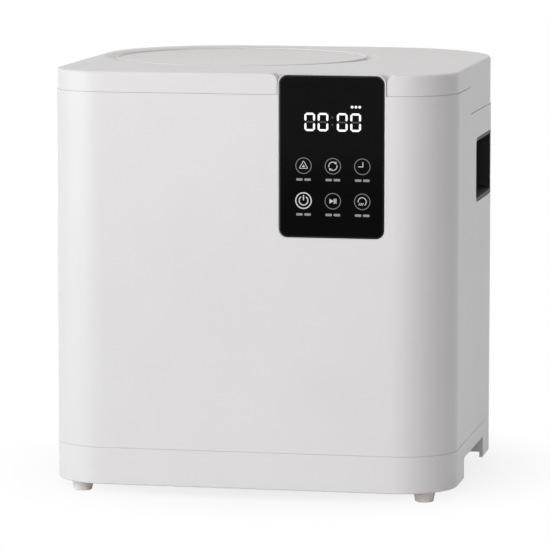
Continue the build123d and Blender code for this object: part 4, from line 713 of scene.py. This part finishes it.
def make_digit(name, left):
    """One digit that shows 0: six lit bars, and the middle one dark."""
    right, middle, top = left + DIGIT_WIDE, DIGIT_LOW + DIGIT_HIGH / 2, DIGIT_LOW + DIGIT_HIGH
    lit = bmesh.new()
    for y in (DIGIT_LOW + STROKE / 2, top - STROKE / 2):
        bar(lit, (left + right) / 2, y, ACROSS, STROKE, point=STROKE_POINT)
    for x in (left + STROKE / 2, right - STROKE / 2):
        for y in ((DIGIT_LOW + middle) / 2, (middle + top) / 2):
            bar(lit, x, y, UPRIGHT, STROKE, pi / 2, STROKE_POINT)
    glass_piece(name + "_lit", lit, "led_lit")
    dark = bmesh.new()
    bar(dark, (left + right) / 2, middle, ACROSS, DARK_STROKE, point=DARK_POINT)
    glass_piece(name + "_dark", dark, "led_dark")


def make_clock():
    """Four digits, a dark colon and three lit dots for the state of the cycle."""
    for number, left in enumerate(DIGIT_LEFTS, 1):
        make_digit(f"digit_{number}", left)
    colon = bmesh.new()
    for height in COLON_HEIGHTS:
        polygon(colon, COLON_LEFT, height, COLON_RADIUS)
    glass_piece("colon", colon, "led_dark")
    dots = bmesh.new()
    for left in STATUS_LEFTS:
        polygon(dots, left, STATUS_HIGH, STATUS_RADIUS)
    glass_piece("status_dots", dots, "led_lit")


def wash_icon(mesh, x, y):
    """A triangle of three bars with a small solid one inside."""
    reach = 1.75
    for turn in range(3):
        toward = radians(90 + 120 * turn)
        bar(mesh, x - reach * cos(toward), y - 0.1 - reach * sin(toward), length=5.7, width=0.5,
            turn=toward + pi / 2)
    polygon(mesh, x, y - 0.4, radius=1.25, sides=3, turn=90)


def turn_icon(mesh, x, y):
    """Two arrows that chase each other round a circle."""
    radius = 2.9
    for start in (60, 240):
        arc(mesh, x, y, radius, line=0.65, start=start, end=start + 135)
        toward = radians(start - 12)
        polygon(mesh, x + radius * cos(toward), y + radius * sin(toward), radius=1.2, sides=3,
                turn=start - 105)


def clock_icon(mesh, x, y):
    """The two hands of a clock at nine."""
    bar(mesh, x + 0.4, y + 1.4, length=3.6, width=0.6, turn=pi / 2)
    bar(mesh, x - 1.1, y - 0.1, length=3.6, width=0.6)


def power_icon(mesh, x, y):
    """A broken ring with an upright bar in its gap."""
    arc(mesh, x, y, radius=3.1, line=0.75, start=122, end=418)
    bar(mesh, x, y + 2.1, length=3.8, width=0.75, turn=pi / 2)


def run_icon(mesh, x, y):
    """Play and pause side by side."""
    polygon(mesh, x - 1.4, y, radius=2.0, sides=3)
    for right in (1.0, 2.2):
        bar(mesh, x + right, y, length=3.4, width=0.75, turn=pi / 2)


def air_icon(mesh, x, y):
    """An open loop with strokes of air below it."""
    arc(mesh, x, y, radius=2.9, line=0.6, start=-55, end=190)
    for left in (-2.0, -0.8, 0.4):
        bar(mesh, x + left, y - 1.8, length=2.0, width=0.5, turn=radians(60))


# the lower row and the upper row, from the left
KEYS = ((power_icon, run_icon, air_icon), (wash_icon, turn_icon, clock_icon))


def make_keys():
    """Six touch keys: a ring, a sign and two bars where the word stands."""
    for row, icons in enumerate(KEYS):
        for column, icon in enumerate(icons):
            x, y = KEY_LEFT + KEY_PITCH * column, KEY_LOW + KEY_ROW * row
            power = icon is power_icon
            name = f"key_{row * len(icons) + column + 1}"
            ring = bmesh.new()
            line = RING_OUTER - RING_INNER + (POWER_EXTRA if power else 0.0)
            arc(ring, x, y, (RING_OUTER + RING_INNER) / 2, line, 0, 360)
            glass_piece(name + "_ring", ring, "ink_power" if power else "ink_dim")
            sign = bmesh.new()
            icon(sign, x, y)
            glass_piece(name + "_sign", sign, "ink_power" if power else "ink_key")
            label = bmesh.new()
            for side in (-1, 1):
                bar(label, x + side * LABEL_APART, y - LABEL_DROP, LABEL_LONG, LABEL_TALL,
                    point=LABEL_POINT)
            glass_piece(name + "_label", label, "ink_label")


# ---------------------------------------------------------------- lid
DISH_X = -37.0
DISH_Y = 25.0
LIP_RADIUS = 91.8
LIP_HALF = 0.7
LIP_DROP = 0.05
LIP_FOOT = 1.1
LIP_STEPS = 8
LIP_SIDES = 240


def make_dish_lip():
    """The fine rounded lip on the edge of the lid's disc."""
    lid_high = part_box("lid_top")[1].z / MM
    crest = lid_high - LIP_DROP - LIP_HALF
    section = [(LIP_RADIUS + side * LIP_HALF, lid_high - LIP_FOOT) for side in (-1, 1)]
    for i in range(LIP_STEPS + 1):
        turn = pi * i / LIP_STEPS
        section.append((LIP_RADIUS + LIP_HALF * cos(turn), crest + LIP_HALF * sin(turn)))
    mesh = bmesh.new()
    shift(mesh, sweep(mesh, section, 0, tau, LIP_SIDES), DISH_X, DISH_Y)
    for face in mesh.faces:
        face.smooth = True
    bmesh.ops.scale(mesh, vec=(MM, MM, MM), verts=mesh.verts)
    new_piece("dish_lip", mesh, finishes["white"], LID)


# ---------------------------------------------------------------- seams
FRONT_RADIUS = 40.0
REAR_RADIUS = 95.0
# how far back the lid's front skirt runs, how deep it hangs, and how wide a seam is
STEP_BACK = 94.5
LID_SKIRT = 14.8
SEAM = 0.2
# half a tongue's height, its depth behind the wall in each seam, and how far it reaches in
TONGUE_HALF = 0.095
CASE_SEAM_DEPTH = 0.4
LID_SEAM_DEPTH = 0.85
TONGUE_REACH = 0.5
NOTCH_ROOM = 2.2
QUARTER_STEPS = 16

shell_low, shell_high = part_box("main_shell")
SIDE = shell_high.x / MM
FRONT = shell_low.y / MM


def quarter(x, y, radius, start):
    """A quarter circle about (x, y) from start in degrees, as points."""
    turns = [radians(start + 90 * i / QUARTER_STEPS) for i in range(QUARTER_STEPS + 1)]
    return [(x + radius * cos(turn), y + radius * sin(turn)) for turn in turns]


def seam_path(inset, stretch):
    """The line of a seam, inset from the case's wall: all round, or left or right of the display."""
    side, front = SIDE - inset, FRONT + inset
    near, far = FRONT_RADIUS - inset, REAR_RADIUS - inset
    left = quarter(near - side, front + near, near, 180)
    right = quarter(side - near, front + near, near, 270)
    if stretch == "left":
        return [(-side, FRONT + STEP_BACK)] + left + [(glass_low.x / MM - NOTCH_ROOM, front)]
    if stretch == "right":
        return [(glass_high.x / MM + NOTCH_ROOM, front)] + right + [(side, FRONT + STEP_BACK)]
    rear = -front - far
    return left + right + quarter(side - far, rear, far, 0) + quarter(far - side, rear, far, 90)


def make_seam_tongue(name, depth, stretch, height):
    """A locating tongue behind a seam, which keeps the seam shallow."""
    low, high, deep = height - TONGUE_HALF, height + TONGUE_HALF, depth + TONGUE_REACH
    section = ((depth, low), (depth, high), (deep, high), (deep, low))
    mesh = bmesh.new()
    rows = [[mesh.verts.new((x, y, z)) for x, y in seam_path(inset, stretch)]
            for inset, z in section]
    count = len(rows[0])
    closed = stretch == "round"
    for row, following in zip(rows, rows[1:] + rows[:1]):
        for i in range(count if closed else count - 1):
            j = (i + 1) % count
            mesh.faces.new((row[i], row[j], following[j], following[i]))
    if not closed:
        mesh.faces.new([row[0] for row in rows])
        mesh.faces.new([row[-1] for row in rows][::-1])
    bmesh.ops.scale(mesh, vec=(MM, MM, MM), verts=mesh.verts)
    new_piece(name, mesh, finishes["white"], CASE)


def make_seam_tongues():
    """One tongue round the case above its base, and one on each side under the lid."""
    base_height = shell_low.z / MM - SEAM / 2
    lid_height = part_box("lid_top")[1].z / MM - LID_SKIRT
    make_seam_tongue("base_seam_tongue", CASE_SEAM_DEPTH, "round", base_height)
    for stretch in ("left", "right"):
        make_seam_tongue(f"lid_seam_tongue_{stretch}", LID_SEAM_DEPTH, stretch, lid_height)


# ---------------------------------------------------------------- fasteners and inlet
SCREW_SIDES = 48
SCREW_TWIST = 0.9
HEAD_RADIUS = 2.8
HEAD_RISE = 1.8
# the head's rounding, as shares of its radius and heights from its crown
HEAD_ROUND = ((1.0, -0.9), (0.88, -0.25), (0.7, 0.0))
SHANK_RADIUS = 1.5
TIP_RADIUS = SHANK_RADIUS * 0.6
TIP_LENGTH = 1.2
CROSS_ARM = 1.5
CROSS_HALF = 0.42
CROSS_DEPTH = 1.1
CROSS_FLOOR = 0.6
WELD = 0.001 * MM
PIN_PLACES = ((-7.0, -2.0), (0.0, 2.0), (7.0, -2.0))
PIN_WIDE = 2.3
PIN_TALL = 4.3
PIN_CORNER = 0.8
PIN_SHOULDER = 12.4
PIN_LENGTH = 13.4
PIN_SEAT = 17.4
PIN_TIP_LESS = 0.9
PIN_TIP_CORNER = 0.5


def islands(node):
    """The low and high corners of each separate solid of a CAD node."""
    mesh = bmesh.new()
    mesh.from_mesh(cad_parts[node].data)
    bmesh.ops.remove_doubles(mesh, verts=mesh.verts, dist=WELD)
    found, seen = [], set()
    for first in mesh.verts:
        if first in seen:
            continue
        seen.add(first)
        island, waiting = [], [first]
        while waiting:
            vert = waiting.pop()
            island.append(vert.co.copy())
            for edge in vert.link_edges:
                other = edge.other_vert(vert)
                if other not in seen:
                    seen.add(other)
                    waiting.append(other)
        found.append((Vector([min(c[k] for c in island) for k in range(3)]),
                      Vector([max(c[k] for c in island) for k in range(3)])))
    mesh.free()
    return found


def cross(turn, scale):
    """How far a cross recess reaches towards an angle in radians."""
    within = abs((turn + pi / 4) % (pi / 2) - pi / 4)
    if sin(within) * CROSS_ARM <= CROSS_HALF * cos(within):
        return scale * CROSS_ARM / cos(within)
    return scale * CROSS_HALF / sin(within)


def turned(mesh, levels):
    """A closed solid from (radius, height) pairs. A radius may be a function of the angle."""
    turns = [tau * i / SCREW_SIDES for i in range(SCREW_SIDES)]
    loops = []
    for radius, height in levels:
        reach = radius if callable(radius) else lambda turn, r=radius: r
        loops.append(([(reach(t) * cos(t), reach(t) * sin(t)) for t in turns], height))
    stack(mesh, loops)


def make_screws(node, outward, body):
    """Cross-recessed pan heads in place of a node's plain screws, with their heads outward."""
    for number, (low, high) in enumerate(islands(node), 1):
        length = max(high - low) / MM
        levels = [(TIP_RADIUS, -length), (SHANK_RADIUS, TIP_LENGTH - length),
                  (SHANK_RADIUS, -HEAD_RISE), (HEAD_RADIUS, -HEAD_RISE)]
        levels += [(HEAD_RADIUS * share, height) for share, height in HEAD_ROUND]
        levels += [(lambda turn: cross(turn, 1.0), 0.0),
                   (lambda turn: cross(turn, CROSS_FLOOR), -CROSS_DEPTH)]
        mesh = bmesh.new()
        turned(mesh, levels)
        middle = (low + high) / 2
        half = (high - low) / 2
        crown = middle + Vector([half[k] * outward[k] for k in range(3)])
        upright = Vector(outward).to_track_quat("Z", "Y").to_matrix().to_4x4()
        twist = Matrix.Rotation(number * SCREW_TWIST, 4, "Z")
        bmesh.ops.transform(mesh, verts=mesh.verts,
                            matrix=Matrix.Translation(crown) @ upright @ twist @ Matrix.Scale(MM, 4))
        piece = new_piece(f"{node}_{number}", mesh, finishes["zinc"], body)
        if number == 1:
            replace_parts(piece, node)


def make_inlet_pins():
    """Nickel-plated blades round the inlet's moulded cores."""
    low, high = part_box("power_inlet")
    middle = (low + high) / 2
    outline = rounded_outline(PIN_WIDE, PIN_TALL, PIN_CORNER)
    tip = rounded_outline(PIN_WIDE - PIN_TIP_LESS, PIN_TALL - PIN_TIP_LESS, PIN_TIP_CORNER)
    # a blade drawn upwards in millimetres, laid to run out of the back in metres
    backwards = Matrix(((-MM, 0, 0, 0), (0, 0, MM, 0), (0, MM, 0, 0), (0, 0, 0, 1)))
    for number, (x, z) in enumerate(PIN_PLACES, 1):
        mesh = bmesh.new()
        stack(mesh, [(outline, 0.0), (outline, PIN_SHOULDER), (tip, PIN_LENGTH)])
        base = Vector((middle.x + x * MM, high.y - PIN_SEAT * MM, middle.z + z * MM))
        bmesh.ops.transform(mesh, verts=mesh.verts, matrix=Matrix.Translation(base) @ backwards)
        new_piece(f"inlet_pin_{number}", mesh, finishes["nickel"], CASE)


make_camera()
make_studio()
finishes = make_finishes()
dress_nodes(finishes)
make_glass()
make_clock()
make_keys()
make_dish_lip()
make_seam_tongues()
make_screws("panel_screws", (0, 1, 0), CASE)
make_screws("base_screws", (0, 0, -1), CASE)
make_screws("foot_screws", (0, 0, -1), CASE)
make_screws("lid_screws", (0, 0, -1), LID)
make_inlet_pins()
